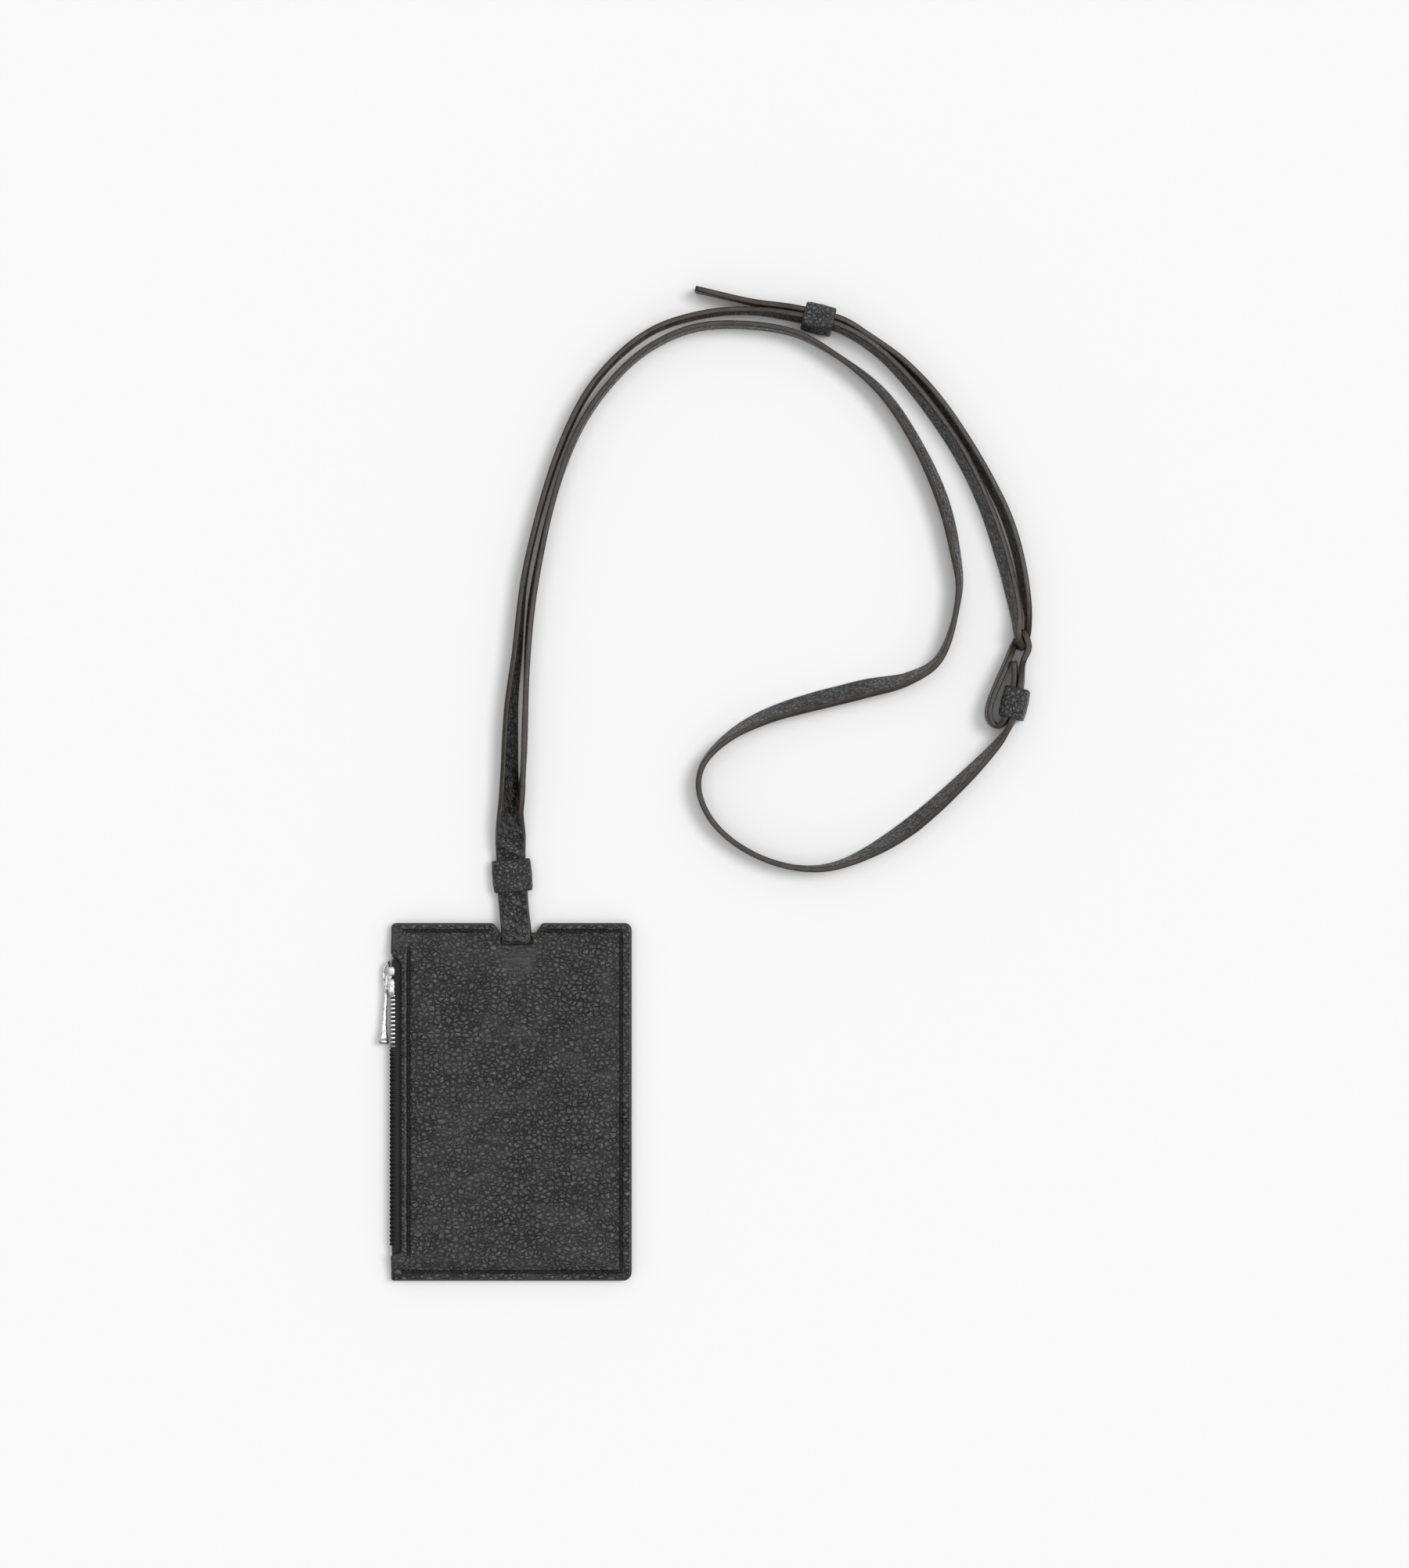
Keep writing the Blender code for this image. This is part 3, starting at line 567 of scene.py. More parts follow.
ADJUSTER_SIDE = [
    (1.6, 56.3, 90, 0.05, 1),
    (0.6, 67.0, 90, LOWER_LIFT, 1),
    (0.2, 75.3, 90, LOWER_LIFT, 1),
    (-0.3, 83.3, 90, LOWER_LIFT, 1),
    (0.9, 95.0, 140, 0.2, 1),
    (3.2, 103.0, 170, 0, 1),
    (7.4, 170.0, 172, 0, 1),
    (21.1, 220.8, 180, 0, 1),
    (35.6, 242.0, 180, 0, 1),
    (48.6, 252.4, 180, 0, 1),
    (64.5, 258.1, 180, 0, 1),
    (92.0, 256.4, 179, 0, 1),
    (106.5, 249.4, 175, 0, 1),
    (123.1, 236.3, 165, 0, 1),
    (135.0, 218.8, 162, 0, 1),
    (143.6, 199.6, 159, 0, 1),
    (147.6, 183.0, 164, 0, 1),
    (148.9, 169.5, 173, 0, 1),
    (142.2, 147.4, 186, 0, 1),
    (132.2, 140.9, 198, 0, 1),
    (116.6, 137.2, 213, 0, 1),
    (85.0, 128.3, 203, 0, 1),
    (71.5, 120.8, 189, 0, 1),
    (63.8, 112.3, 182, 0, 1),
    (62.3, 104.5, 180, 0, 1),
    (65.5, 95.4, 180, 0, 1),
    (73.0, 87.2, 180, 0, 1),
    (85.5, 80.3, 180, 0, 1),
    (99.0, 77.6, 178, 0, 1),
    (110.8, 79.5, 173, 0, 1),
    (132.2, 91.3, 156, 0, 1),
    (162.0, 119.6, 175, 0.6, 1),
    (166.4, 126.6, 188, ADJUSTER_LIFT, 1),
    (169.4, 139.3, 188, ADJUSTER_LIFT, 1),
    (170.2, 146.3, 184, 0.8, 0.8),
    (171.9, 151.4, 180, 3.4, 0.48),
    (170.1, 156.0, 180, 2.4, 0.48),
    (167.6, 152.6, 180, 0, 0.48),
    (165.4, 147.4, 182, 0, 0.85),
    (158.8, 130.6, 181, 0, 1),
    (159.4, 126.6, 180, 0.2, 1),
    (161.8, 125.2, 180, 0.6, 1),
    (164.3, 127.1, 188, ADJUSTER_LIFT, 1),
    (167.3, 139.8, 188, ADJUSTER_LIFT, 1),
    (167.1, 146.6, 186, ADJUSTER_LIFT, 1),
]


def route_rows(route):
    """The route as rows of x, y, z, lean, gather."""
    rows = []
    for x, y, lean, lift, gather in route:
        rows.append((x, y, lift + gather * strip_height(lean), lean, gather))
    return np.array(rows, float)


def catmull_rom(p0, p1, p2, p3, t):
    """A point between p1 and p2 on a centripetal Catmull-Rom curve."""
    knots = [0.0]
    for a, b in ((p0, p1), (p1, p2), (p2, p3)):
        knots.append(knots[-1] + max(math.sqrt(np.linalg.norm(b[:3] - a[:3])), 1e-6))
    t0, t1, t2, t3 = knots
    t = t1 + (t2 - t1) * t
    a1 = ((t1 - t) * p0 + (t - t0) * p1) / (t1 - t0)
    a2 = ((t2 - t) * p1 + (t - t1) * p2) / (t2 - t1)
    a3 = ((t3 - t) * p2 + (t - t2) * p3) / (t3 - t2)
    b1 = ((t2 - t) * a1 + (t - t0) * a2) / (t2 - t0)
    b2 = ((t3 - t) * a2 + (t - t1) * a3) / (t3 - t1)
    return ((t2 - t) * b1 + (t - t1) * b2) / (t2 - t1)


def smooth_points(rows):
    """The rows joined by a smooth curve, in steps of about STRAP_STEP."""
    ends = np.vstack([2 * rows[0] - rows[1], rows, 2 * rows[-1] - rows[-2]])
    points = [rows[0]]
    for i in range(1, len(ends) - 2):
        around = ends[i - 1 : i + 3]
        span = np.linalg.norm(around[2][:3] - around[1][:3])
        count = max(1, math.ceil(span / STRAP_STEP))
        for k in range(1, count + 1):
            points.append(catmull_rom(*around, k / count))
    return np.array(points)


def fold_points():
    """The half turn through the slit, as an arc over and under the leather between the slit and the notch."""
    (y0, z0, _), (y1, _, _), (_, _, _), (_, z3, _) = SLIT_FOLD
    corner = y0 - y1
    turns = [math.radians(15 * k) for k in range(1, 6)]
    arc = [(y0 - corner * math.sin(turn), corner * (1 - math.cos(turn))) for turn in turns]
    rows = [(SLIT_X, y, z0 - drop, -90, 1) for y, drop in arc]
    top, bottom = z0 - arc[-1][1], z3 + arc[-1][1]
    for k in range(1, 4):
        rows.append((SLIT_X, y1, top + (bottom - top) * k / 4, -90 if k < 2 else 90, 1))
    rows += [(SLIT_X, y, z3 + drop, 90, 1) for y, drop in reversed(arc)]
    return np.array(rows, float)


# A section's corners: the signs of its two axes, and the angle at which the corner's arc starts
QUARTERS = ((1, 1, 0), (-1, 1, 90), (-1, -1, 180), (1, -1, 270))


def rounded_section(half_wide, half_thick, corner, shares, crown):
    """A flat bar's section with round corners; its wide sides have points at shares and swell by crown."""
    inner = half_wide - corner
    ring = []
    for wide_sign, thick_sign, start in QUARTERS:
        for k in range(4):
            angle = math.radians(start + 30 * k)
            wide = wide_sign * inner + corner * math.cos(angle)
            ring.append((wide, thick_sign * (half_thick - corner) + corner * math.sin(angle)))
        if wide_sign == thick_sign:
            for share in shares:
                swell = half_thick + crown * (1 - share * share)
                ring.append((wide_sign * inner * share, thick_sign * swell))
    return ring


def end_slots(ring, reach):
    """For each side of a section, slot 1 where it lies further out than reach and slot 0 elsewhere."""
    sides = zip(ring, ring[1:] + ring[:1])
    return [1 if (abs(here[0]) + abs(after[0])) / 2 > reach else 0 for here, after in sides]


def sweep_strap(rows):
    """The strap's points, faces and slots along its rows of x, y, z, lean, gather."""
    centres = rows[:, :3]
    tangents = np.gradient(centres, axis=0)
    tangents /= np.linalg.norm(tangents, axis=1)[:, None]
    up = np.array((0.0, 0.0, 1.0))
    widths = []
    for tangent, lean in zip(tangents, rows[:, 3]):
        flat = np.array((tangent[0], tangent[1], 0.0))
        length = np.linalg.norm(flat)
        flat = flat / length if length > 0.02 else np.array((0.0, 1.0, 0.0)) * (1 if lean > 0 else -1)
        left = np.cross(up, flat)
        angle = math.radians(lean)
        width = math.cos(angle) * up + math.sin(angle) * left
        width -= tangent * np.dot(width, tangent)
        widths.append(width / np.linalg.norm(width))
    shares = (0.6, 0.2, -0.2, -0.6)
    ring = rounded_section(STRAP_WIDTH / 2, STRAP_THICK / 2, STRAP_CORNER, shares, STRAP_CROWN)
    points = []
    run = np.concatenate([[0], np.cumsum(np.linalg.norm(np.diff(centres, axis=0), axis=1))])
    for centre, tangent, width, gather, s in zip(centres, tangents, widths, rows[:, 4], run):
        normal = np.cross(tangent, width)
        even = 1 + 0.012 * math.sin(s / 4.3) + 0.008 * math.sin(s / 1.9 + 1)
        for w, t in ring:
            fold = 1 + 0.25 * (1 - gather)
            place = centre + width * w * gather * even + normal * t * fold
            points.append((place[0], place[1], max(place[2], LOWEST_Z)))
    painted = end_slots(ring, STRAP_WIDTH / 2 - STRAP_CORNER * 0.75)
    slots = painted * (len(centres) - 1) + [1, 1]
    return points, ring_faces(len(centres), len(ring)), slots


def make_strap():
    """The whole strap, from the tail's end through the slit to the adjuster's end."""
    sides = [smooth_points(route_rows(side)) for side in (TAIL_SIDE, ADJUSTER_SIDE)]
    rows = np.vstack([sides[0], fold_points(), sides[1]])
    points, faces, slots = sweep_strap(rows)
    strap = mesh_object("strap_leather_strip", points, faces, [STRAP_LEATHER, EDGE_PAINT], slots)
    finish_piece(strap, "pouch", "strap_leather", "strap")
    length = float(np.linalg.norm(np.diff(rows[:, :3], axis=0), axis=1).sum()) * MM
    return length


# ---------------------------------------------------------------- the keepers


def make_keeper(which, placing, finish):
    """A leather loop, fuller in the middle than at its ends, with soft corners and painted edges."""
    x, y, heading, lean, length, slack = placing
    half_a = (KEEPER_OUTSIDE[0] + slack - KEEPER_WALL) / 2
    half_t = (KEEPER_OUTSIDE[1] - KEEPER_WALL) / 2
    radius = KEEPER_BEND - KEEPER_WALL / 2
    corners = [(-half_a, -half_t), (half_a, -half_t), (half_a, half_t), (-half_a, half_t)]
    outline = resampled(rounded_outline([(a, t, radius) for a, t in corners], 8), 0.7)
    outward = outline - inset(outline, 1.0)

    heading, lean = math.radians(heading), math.radians(lean)
    forward = np.array((math.cos(heading), math.sin(heading), 0.0))
    left = np.array((-forward[1], forward[0], 0.0))
    tall_axis = np.array((0, 0, math.cos(lean))) + left * math.sin(lean)
    across_axis = np.cross(tall_axis, forward)
    centre = np.array((x, y, keeper_height(placing)))

    half_l = length / 2
    shares = (0.75, 0.5, 0.25, 0, -0.25, -0.5, -0.75)
    stations = rounded_section(half_l, KEEPER_WALL / 2, STRAP_CORNER, shares, 0)
    points = []
    for i, ((a, t), (da, dt)) in enumerate(zip(outline, outward)):
        for along, depth in stations:
            share = along / half_l
            crumple = 0.07 * math.sin(along * 1.7 + t * 0.9) * math.sin(a * 1.3 + t * 1.1 + i * 0.05)
            full = (0.30 * (1 - share * share) + crumple) * (1 if depth > 0 else 0.3)
            reach = depth + full
            place = across_axis * (a + da * reach) + tall_axis * (t + dt * reach) + forward * along
            spot = centre + place
            points.append((spot[0], spot[1], max(spot[2], LOWEST_Z)))
    faces = ring_faces(len(outline), len(stations), closed=True)
    slots = end_slots(stations, half_l - STRAP_CORNER * 0.8) * len(outline)
    keeper = mesh_object(f"keeper_loop_{which}", points, faces, [finish, EDGE_PAINT], slots)
    face_outwards(keeper)
    return finish_piece(keeper, f"{which}_keeper", "strap_leather", f"keeper_{which}")


STRAP_PIECES = [
    make_keeper("pouch", POUCH_KEEPER, POUCH_KEEPER_LEATHER),
    make_keeper("tail", TAIL_KEEPER, KEEPER_LEATHER),
    make_keeper("adjuster", ADJUSTER_KEEPER, KEEPER_LEATHER),
]
strap_length = make_strap()


# ---------------------------------------------------------------- the pouch

HALF_W = 40.0
HALF_H = 59.5
HALF_DEPTH = 3.55
MID_Z = HALF_DEPTH
LEATHER_THICK = 1.2
MARGIN_DROP = 2.2
EDGE_ROUND = 0.6
BACK_CLEARANCE = 0.03
SWELL_HEIGHT = 0.10
RIDGE_HEIGHT = 0.8
GROOVE_DEPTH = 0.6
# How far from a seam the darker leather of painted shade reaches
GROOVE_REACH = 0.57
CREASE_DEPTH = 0.20
SLIT_BUMP_HEIGHT = 0.45
WINDOW_X = -36.8
WINDOW_Y = (-50.2, 48.6)
NOTCH_X = (-6.0, 10.2)
NOTCH_FLOOR_X = (-4.0, 8.2)
NOTCH_FLOOR_Y = 56.3
SLIT_AT = (1.8, 53.8)
SLIT_HALF = (5.2, 1.2)
SLIT_BUMP = (2.4, 49.2)
CREASE = ((-34.5, 54.6), (-8.4, 50.9))

# The seams' lines, and the ridge beside the left one where the leather is folded back along the zip
RIGHT_SEAM_X = HALF_W - 3.5
TOP_SEAM_Y = HALF_H - 2.6
BOTTOM_SEAM_Y = -HALF_H + 3.0
LEFT_SEAM_X = -34.0
FOLD_X = LEFT_SEAM_X - 1.0
# The band along the fold that gets the lighter leather as a painted highlight
RIDGE_X = (FOLD_X - 0.32, FOLD_X + 0.12)
SEAMS = {
    "right": ((RIGHT_SEAM_X, BOTTOM_SEAM_Y), (RIGHT_SEAM_X, TOP_SEAM_Y)),
    "top_right": ((NOTCH_X[1] + 0.9, TOP_SEAM_Y), (RIGHT_SEAM_X, TOP_SEAM_Y)),
    "top_left": ((-36.2, TOP_SEAM_Y), (NOTCH_X[0] - 0.9, TOP_SEAM_Y)),
    "bottom": ((-36.6, BOTTOM_SEAM_Y), (RIGHT_SEAM_X, BOTTOM_SEAM_Y)),
    "left": ((LEFT_SEAM_X, BOTTOM_SEAM_Y + 6.0), (LEFT_SEAM_X, 51.4)),
}
STITCH_PITCH = 3.15
STITCH_LENGTH = 2.5
STITCH_RISE = 0.22
STITCH_DIP = 0.7
THREAD_RADIUS = 0.36

# Where the panels' points lie: rings inside the edges, rows beside each seam, and the steps between points
EDGE_RINGS = (0.12, 0.3, EDGE_ROUND, 0.95)
SEAM_ROWS = (-1.3, -0.9, -0.55, -0.25, 0, 0.25, 0.55, 0.9, 1.3)
SEAM_STEP = 0.9
GRID_STEP = 1.05

# The panels' material slots
PANEL_MATERIALS = [LEATHER, EDGE_PAINT, SUEDE, SHADE_LEATHER, HIGHLIGHT_LEATHER]
GRAIN_SIDE, PAINTED, FLESH_SIDE, IN_PAINTED_SHADE, ON_PAINTED_HIGHLIGHT = range(5)


def panel_outline():
    """Both panels' outline, anticlockwise: notched at the top and set back behind the zip."""
    return rounded_outline(
        [
            (-HALF_W, -HALF_H, 0.7),
            (HALF_W, -HALF_H, 2.8),
            (HALF_W, HALF_H, 2.4),
            (NOTCH_X[1], HALF_H, 1.3),
            (NOTCH_FLOOR_X[1], NOTCH_FLOOR_Y, 0.7),
            (NOTCH_FLOOR_X[0], NOTCH_FLOOR_Y, 0.7),
            (NOTCH_X[0], HALF_H, 1.6),
            (-HALF_W, HALF_H, 1.6),
            (-HALF_W, WINDOW_Y[1] + 0.8, 0.7),
            (WINDOW_X, WINDOW_Y[1] - 2.4, 0.9),
            (WINDOW_X, WINDOW_Y[0] + 0.6, 0.9),
            (-HALF_W, WINDOW_Y[0] - 0.8, 0.7),
        ]
    )


def slit_outline():
    """The slit's outline, clockwise, so that its leather lies on the left of it as the panel's does."""
    (x, y), (w, h) = SLIT_AT, SLIT_HALF
    corners = [(x - w, y - h, 0.5), (x - w, y + h, 0.5), (x + w, y + h, 0.5), (x + w, y - h, 0.5)]
    return rounded_outline(corners)


def distance_to_segments(points, starts, ends):
    """Each point's distance to the nearest of the segments."""
    best = np.full(len(points), 1e9)
    for start, end in zip(starts, ends):
        along = end - start
        share = np.clip(((points - start) @ along) / max(along @ along, 1e-12), 0, 1)
        away = points - (start + share[:, None] * along)
        best = np.minimum(best, np.hypot(away[:, 0], away[:, 1]))
    return best


def inside(points, loop):
    """Whether each point is inside the loop."""
    result = np.zeros(len(points), bool)
    for (x0, y0), (x1, y1) in zip(loop, np.roll(loop, -1, axis=0)):
        crosses = (y0 > points[:, 1]) != (y1 > points[:, 1])
        where = x0 + (points[:, 1] - y0) * (x1 - x0) / ((y1 - y0) or 1e-12)
        result ^= crosses & (points[:, 0] < where)
    return result


def seam_lines():
    """Each seam's start, heading, left side and length."""
    for start, end in SEAMS.values():
        start, end = np.array(start), np.array(end)
        length = np.linalg.norm(end - start)
        along = (end - start) / length
        yield start, along, np.array((-along[1], along[0])), length


def seam_distance(points):
    """Each point's distance to the nearest seam."""
    starts, ends = np.array(list(SEAMS.values())).transpose(1, 0, 2)
    return distance_to_segments(points, starts, ends)


def panel_height(points, front):
    """The panel's outer face above the pouch's middle plane: a soft pillow that drops to the sewn margins.

    The back one is pressed flat where it lies on the ground.
    """
    x, y = points[:, 0], points[:, 1]
    right = 1 - eased((RIGHT_SEAM_X + 0.4 - x) / 6.2)
    top = 1 - eased((TOP_SEAM_Y + 0.4 - y) / 10.5)
    bottom = 1 - eased((y - BOTTOM_SEAM_Y + 0.4) / 7.0)
    margin = 1 - (1 - right) * (1 - top) * (1 - bottom)
    height = HALF_DEPTH - MARGIN_DROP * margin
    swell = np.sin(x / 11.0 + 0.6) * np.cos(y / 17.0 + 0.3) + 0.5 * np.sin(x / 5.1 + y / 7.3)
    height += SWELL_HEIGHT * swell * (1 - margin)
    along_zip = eased((WINDOW_Y[1] - y) / 3) * eased((y - WINDOW_Y[0]) / 3)
    height += RIDGE_HEIGHT * along_zip * np.exp(-(((x - FOLD_X) / 0.45) ** 2))
    height -= GROOVE_DEPTH * np.exp(-((seam_distance(points) / 0.6) ** 2))
    if front:
        start, end = (np.array(point) for point in CREASE)
        from_crease = distance_to_segments(points, [start], [end])
        height -= CREASE_DEPTH * np.exp(-((from_crease / 0.55) ** 2))
        from_bump = ((x - SLIT_BUMP[0]) / 2.6) ** 2 + ((y - SLIT_BUMP[1]) / 2.2) ** 2
        height += SLIT_BUMP_HEIGHT * np.exp(-from_bump)
        return height
    return np.minimum(height, HALF_DEPTH - BACK_CLEARANCE)


def panel_points(outline, slit):
    """A panel's flat points, as rings along its edges, rows along its seams and a grid for the rest.

    It gives the edges' loops, the starts and ends of their sides, and the points inside.
    """
    loops = [resampled(outline, 0.8), resampled(slit, 0.5)]
    starts = np.vstack(loops)
    ends = np.vstack([np.roll(loop, -1, axis=0) for loop in loops])
    groups = []
    for depth in EDGE_RINGS:
        ring = np.vstack([inset(loop, depth) for loop in loops])
        groups.append(ring[distance_to_segments(ring, starts, ends) > depth * 0.97])
    for start, along, side, length in seam_lines():
        for offset in SEAM_ROWS:
            for k in range(int(length / SEAM_STEP) + 1):
                groups.append((start + along * k * SEAM_STEP + side * offset)[None])
    columns = np.arange(-HALF_W, HALF_W, GRID_STEP)
    grid = []
    for row, y in enumerate(np.arange(-HALF_H, HALF_H, GRID_STEP * 0.87)):
        grid.append(np.column_stack([columns + GRID_STEP / 2 * (row % 2), np.full(len(columns), y)]))
    grid = np.vstack(grid)
    clear = (seam_distance(grid) > 1.55) & (distance_to_segments(grid, starts, ends) > 1.25)
    groups.append(grid[clear])
    rest = np.vstack(groups)
    away = distance_to_segments(rest, starts, ends)
    rest = rest[inside(rest, outline) & ~inside(rest, slit) & (away > 0.1)]
    return loops, starts, ends, rest


def make_panel(name, node, front):
    """A leather panel with rounded, painted edges, grooved along its seams."""
    outline, slit = panel_outline(), slit_outline()
    loops, starts, ends, rest = panel_points(outline, slit)
    flat = np.vstack([*loops, rest])
    edges = []
    first = 0
    for loop in loops:
        count = len(loop)
        edges += [(first + k, first + (k + 1) % count) for k in range(count)]
        first += count
    vectors = [Vector(point) for point in flat.tolist()]
    found, _, triangles, *_ = delaunay_2d_cdt(vectors, edges, [], 0, 1e-6)
    flat = np.array([tuple(point) for point in found])
    triangles = np.array(triangles)
    centres = flat[triangles].mean(axis=1)
    triangles = triangles[inside(centres, outline) & ~inside(centres, slit)]

    away = distance_to_segments(flat, starts, ends)
    lack = np.clip(EDGE_ROUND - away, 0, EDGE_ROUND)
    drop = EDGE_ROUND - np.sqrt(EDGE_ROUND**2 - lack**2)
    outer = panel_height(flat, front)
    from_seam = seam_distance(flat)
    inner = outer - LEATHER_THICK
    sign = 1 if front else -1
    count = len(flat)
    points = np.vstack(
        [
            np.column_stack([flat, MID_Z + sign * (outer - drop)]),
            np.column_stack([flat, MID_Z + sign * (inner + drop * 0.5)]),
        ]
    )
    faces, slots = [], []
    used = {}
    for a, b, c in triangles.tolist():
        faces.append((a, b, c) if front else (c, b, a))
        faces.append((c + count, b + count, a + count) if front else (a + count, b + count, c + count))
        rim = max(away[a], away[b], away[c]) < EDGE_ROUND + 0.01
        beside_zip = WINDOW_Y[0] < flat[a][1] < WINDOW_Y[1]
        folded = flat[a][0] < WINDOW_X + 1.0 and beside_zip
        # Faces wholly on the fold's ridge get the lighter leather as a painted highlight
        ridge = beside_zip and all(RIDGE_X[0] < flat[k][0] < RIDGE_X[1] for k in (a, b, c))
        # Faces in a seam's groove, and on the folded rim beside the zip, get the darker leather as painted
        # shade
        groove = max(from_seam[a], from_seam[b], from_seam[c]) < GROOVE_REACH
        if ridge:
            seen = ON_PAINTED_HIGHLIGHT
        elif groove or (rim and folded):
            seen = IN_PAINTED_SHADE
        else:
            seen = PAINTED if rim else GRAIN_SIDE
        slots += [seen, FLESH_SIDE]
        for edge in ((a, b), (b, c), (c, a)):
            used[edge] = True
    for a, b in used:
        if (b, a) not in used:
            wall = (b, a, a + count, b + count)
            faces.append(wall if front else wall[::-1])
            slots.append(PAINTED)
    panel = mesh_object(name, points, faces, PANEL_MATERIALS, slots)
    return finish_piece(panel, "pouch", "leather", node)


def make_stitches(name, front):
    """The seams' thread: one short sunken loop for each stitch, each end pulled down into its hole."""
    points, faces = [], []
    sign = 1 if front else -1
    around = 8
    shares = np.linspace(-1, 1, 7)
    for start, along, side, length in seam_lines():
        count = int(length / STITCH_PITCH)
        spare = (length - count * STITCH_PITCH) / 2
        for i in range(count):
            middle = start + along * (spare + (i + 0.5) * STITCH_PITCH)
            spots = [middle + along * STITCH_LENGTH / 2 * share for share in shares]
            bases = panel_height(np.array(spots), front)
            first = len(points)
            for share, spot, base in zip(shares, spots, bases):
                level = base + STITCH_RISE - STITCH_DIP * share**4
                radius = THREAD_RADIUS * (1 - 0.35 * share**6)
                for m in range(around):
                    angle = 2 * math.pi * m / around
                    x, y = spot + side * radius * math.cos(angle)
                    points.append((x, y, MID_Z + sign * (level + radius * math.sin(angle))))
            loop = ring_faces(len(shares), around, first)
            faces += [face[::-1] for face in loop] if front else loop
    stitches = mesh_object(name, points, faces, [THREAD])
    return finish_piece(stitches, "pouch", "leather")


make_panel("front_leather", "front_panel", True)
make_panel("back_leather", "back_panel", False)
make_stitches("front_stitches", True)
make_stitches("back_stitches", False)


# ---------------------------------------------------------------- the zip

TAPE_THICK = 0.6
TAPE_Y = (-51.6, 49.6)
# The front tape's middle line, as x, z, from inside the pouch to its row of teeth
TAPE_COURSE = [(-30.0, 5.3), (-34.0, 5.3), (-36.6, 5.35), (-38.0, 5.45), (-39.0, 5.2), (-39.55, 4.7)]
TOOTH_PITCH = 1.4
TEETH_Y = (-47.6, 39.7)
TOOTH_X = (-40.45, -38.3)


def make_tape(name, node, front):
    """A woven tape that comes out from under the leather and curls round to its row of teeth."""
    sides = len(TAPE_COURSE) - 1
    spots = np.linspace(0, sides, 4 * sides + 1)
    fine = np.column_stack([np.interp(spots, range(sides + 1), axis) for axis in zip(*TAPE_COURSE)])
    along = np.gradient(fine, axis=0)
    along /= np.linalg.norm(along, axis=1)[:, None]
    normal = np.column_stack([-along[:, 1], along[:, 0]])
    section_line = np.vstack([fine + normal * TAPE_THICK / 2, (fine - normal * TAPE_THICK / 2)[::-1]])
    rows = np.linspace(TAPE_Y[0], TAPE_Y[1], 120)
    points = []
    for y in rows:
        ripple = 0.05 * math.sin(y * 0.83) + 0.04 * math.sin(y * 2.1 + 1)
        for x, z in section_line:
            out = eased((-36.0 - x) / 3)
            height = z - MID_Z
            points.append((x + ripple * out, y, MID_Z + (height if front else -height)))
    tape = mesh_object(name, points, ring_faces(len(rows), len(section_line)), [TAPE_CLOTH])
    face_outwards(tape)
    return finish_piece(tape, "pouch", "zip_tape", node)


def add_rounded_block(points, faces, centre, half, soft):
    """A block with rounded edges, from a cube whose corners are pulled in, 5 by 5 points on each side."""
    first = len(points)
    cube = bmesh.new()
    bmesh.ops.create_cube(cube, size=2.0)
    bmesh.ops.subdivide_edges(cube, edges=cube.edges, cuts=3, use_grid_fill=True)
    for vert in cube.verts:
        core = Vector([max(-1 + s / h, min(1 - s / h, c)) for c, h, s in zip(vert.co, half, soft)])
        out = Vector([(c - k) * h / s for c, k, h, s in zip(vert.co, core, half, soft)])
        if out.length > 0:
            out.normalize()
        place = [m + h * k + s * o for m, h, k, s, o in zip(centre, half, core, soft, out)]
        points.append(tuple(place))
    for face in cube.faces:
        faces.append(tuple(first + vert.index for vert in face.verts))
    cube.free()


def make_teeth(name, node, front):
    """One row of teeth: each a rounded clasp over the tape's bead, with a nib that meets the other row."""
    sign = 1 if front else -1
    points, faces = [], []
    middle_x = sum(TOOTH_X) / 2
    half_x = (TOOTH_X[1] - TOOTH_X[0]) / 2
    start = TEETH_Y[0] + 0.4 + (0 if front else TOOTH_PITCH / 2)
    count = int((TEETH_Y[1] - start) / TOOTH_PITCH) + 1
    for i in range(count):
        y = start + i * TOOTH_PITCH
        body = (middle_x, y, MID_Z + sign * 1.25)
        add_rounded_block(points, faces, body, (half_x, 0.45, 0.85), (0.4, 0.22, 0.3))
        nib = (middle_x - 0.1, y, MID_Z + sign * 0.25)
        add_rounded_block(points, faces, nib, (half_x * 0.8, 0.30, 0.5), (0.4, 0.25, 0.3))
    row = mesh_object(name, points, faces, [TOOTH_METAL])
    return finish_piece(row, "pouch", "zip_teeth", node)


def sweep_bar(path, sizes, side, closed=False, around=16):
    """A bar with a rounded-square section along a path, its half sizes being those along and across side."""
    path = np.array(path, float)
    if closed:
        along = np.roll(path, -1, axis=0) - np.roll(path, 1, axis=0)
    else:
        along = np.gradient(path, axis=0)
    along /= np.linalg.norm(along, axis=1)[:, None]
    side = np.array(side, float)
    points = []
    for spot, direction, (half_side, half_other) in zip(path, along, sizes):
        other = np.cross(direction, side)
        for k in range(around):
            angle = 2 * math.pi * k / around
            c, n = math.cos(angle), math.sin(angle)
            u = math.copysign(abs(c) ** 0.55, c)
            v = math.copysign(abs(n) ** 0.55, n)
            points.append(spot + side * half_side * u + other * half_other * v)
    return points, ring_faces(len(path), around, closed=closed)


def joined(*pieces):
    """Several lots of points and faces as one."""
    points, faces = [], []
    for more_points, more_faces in pieces:
        first = len(points)
        points += list(more_points)
        faces += [tuple(first + k for k in face) for face in more_faces]
    return points, faces


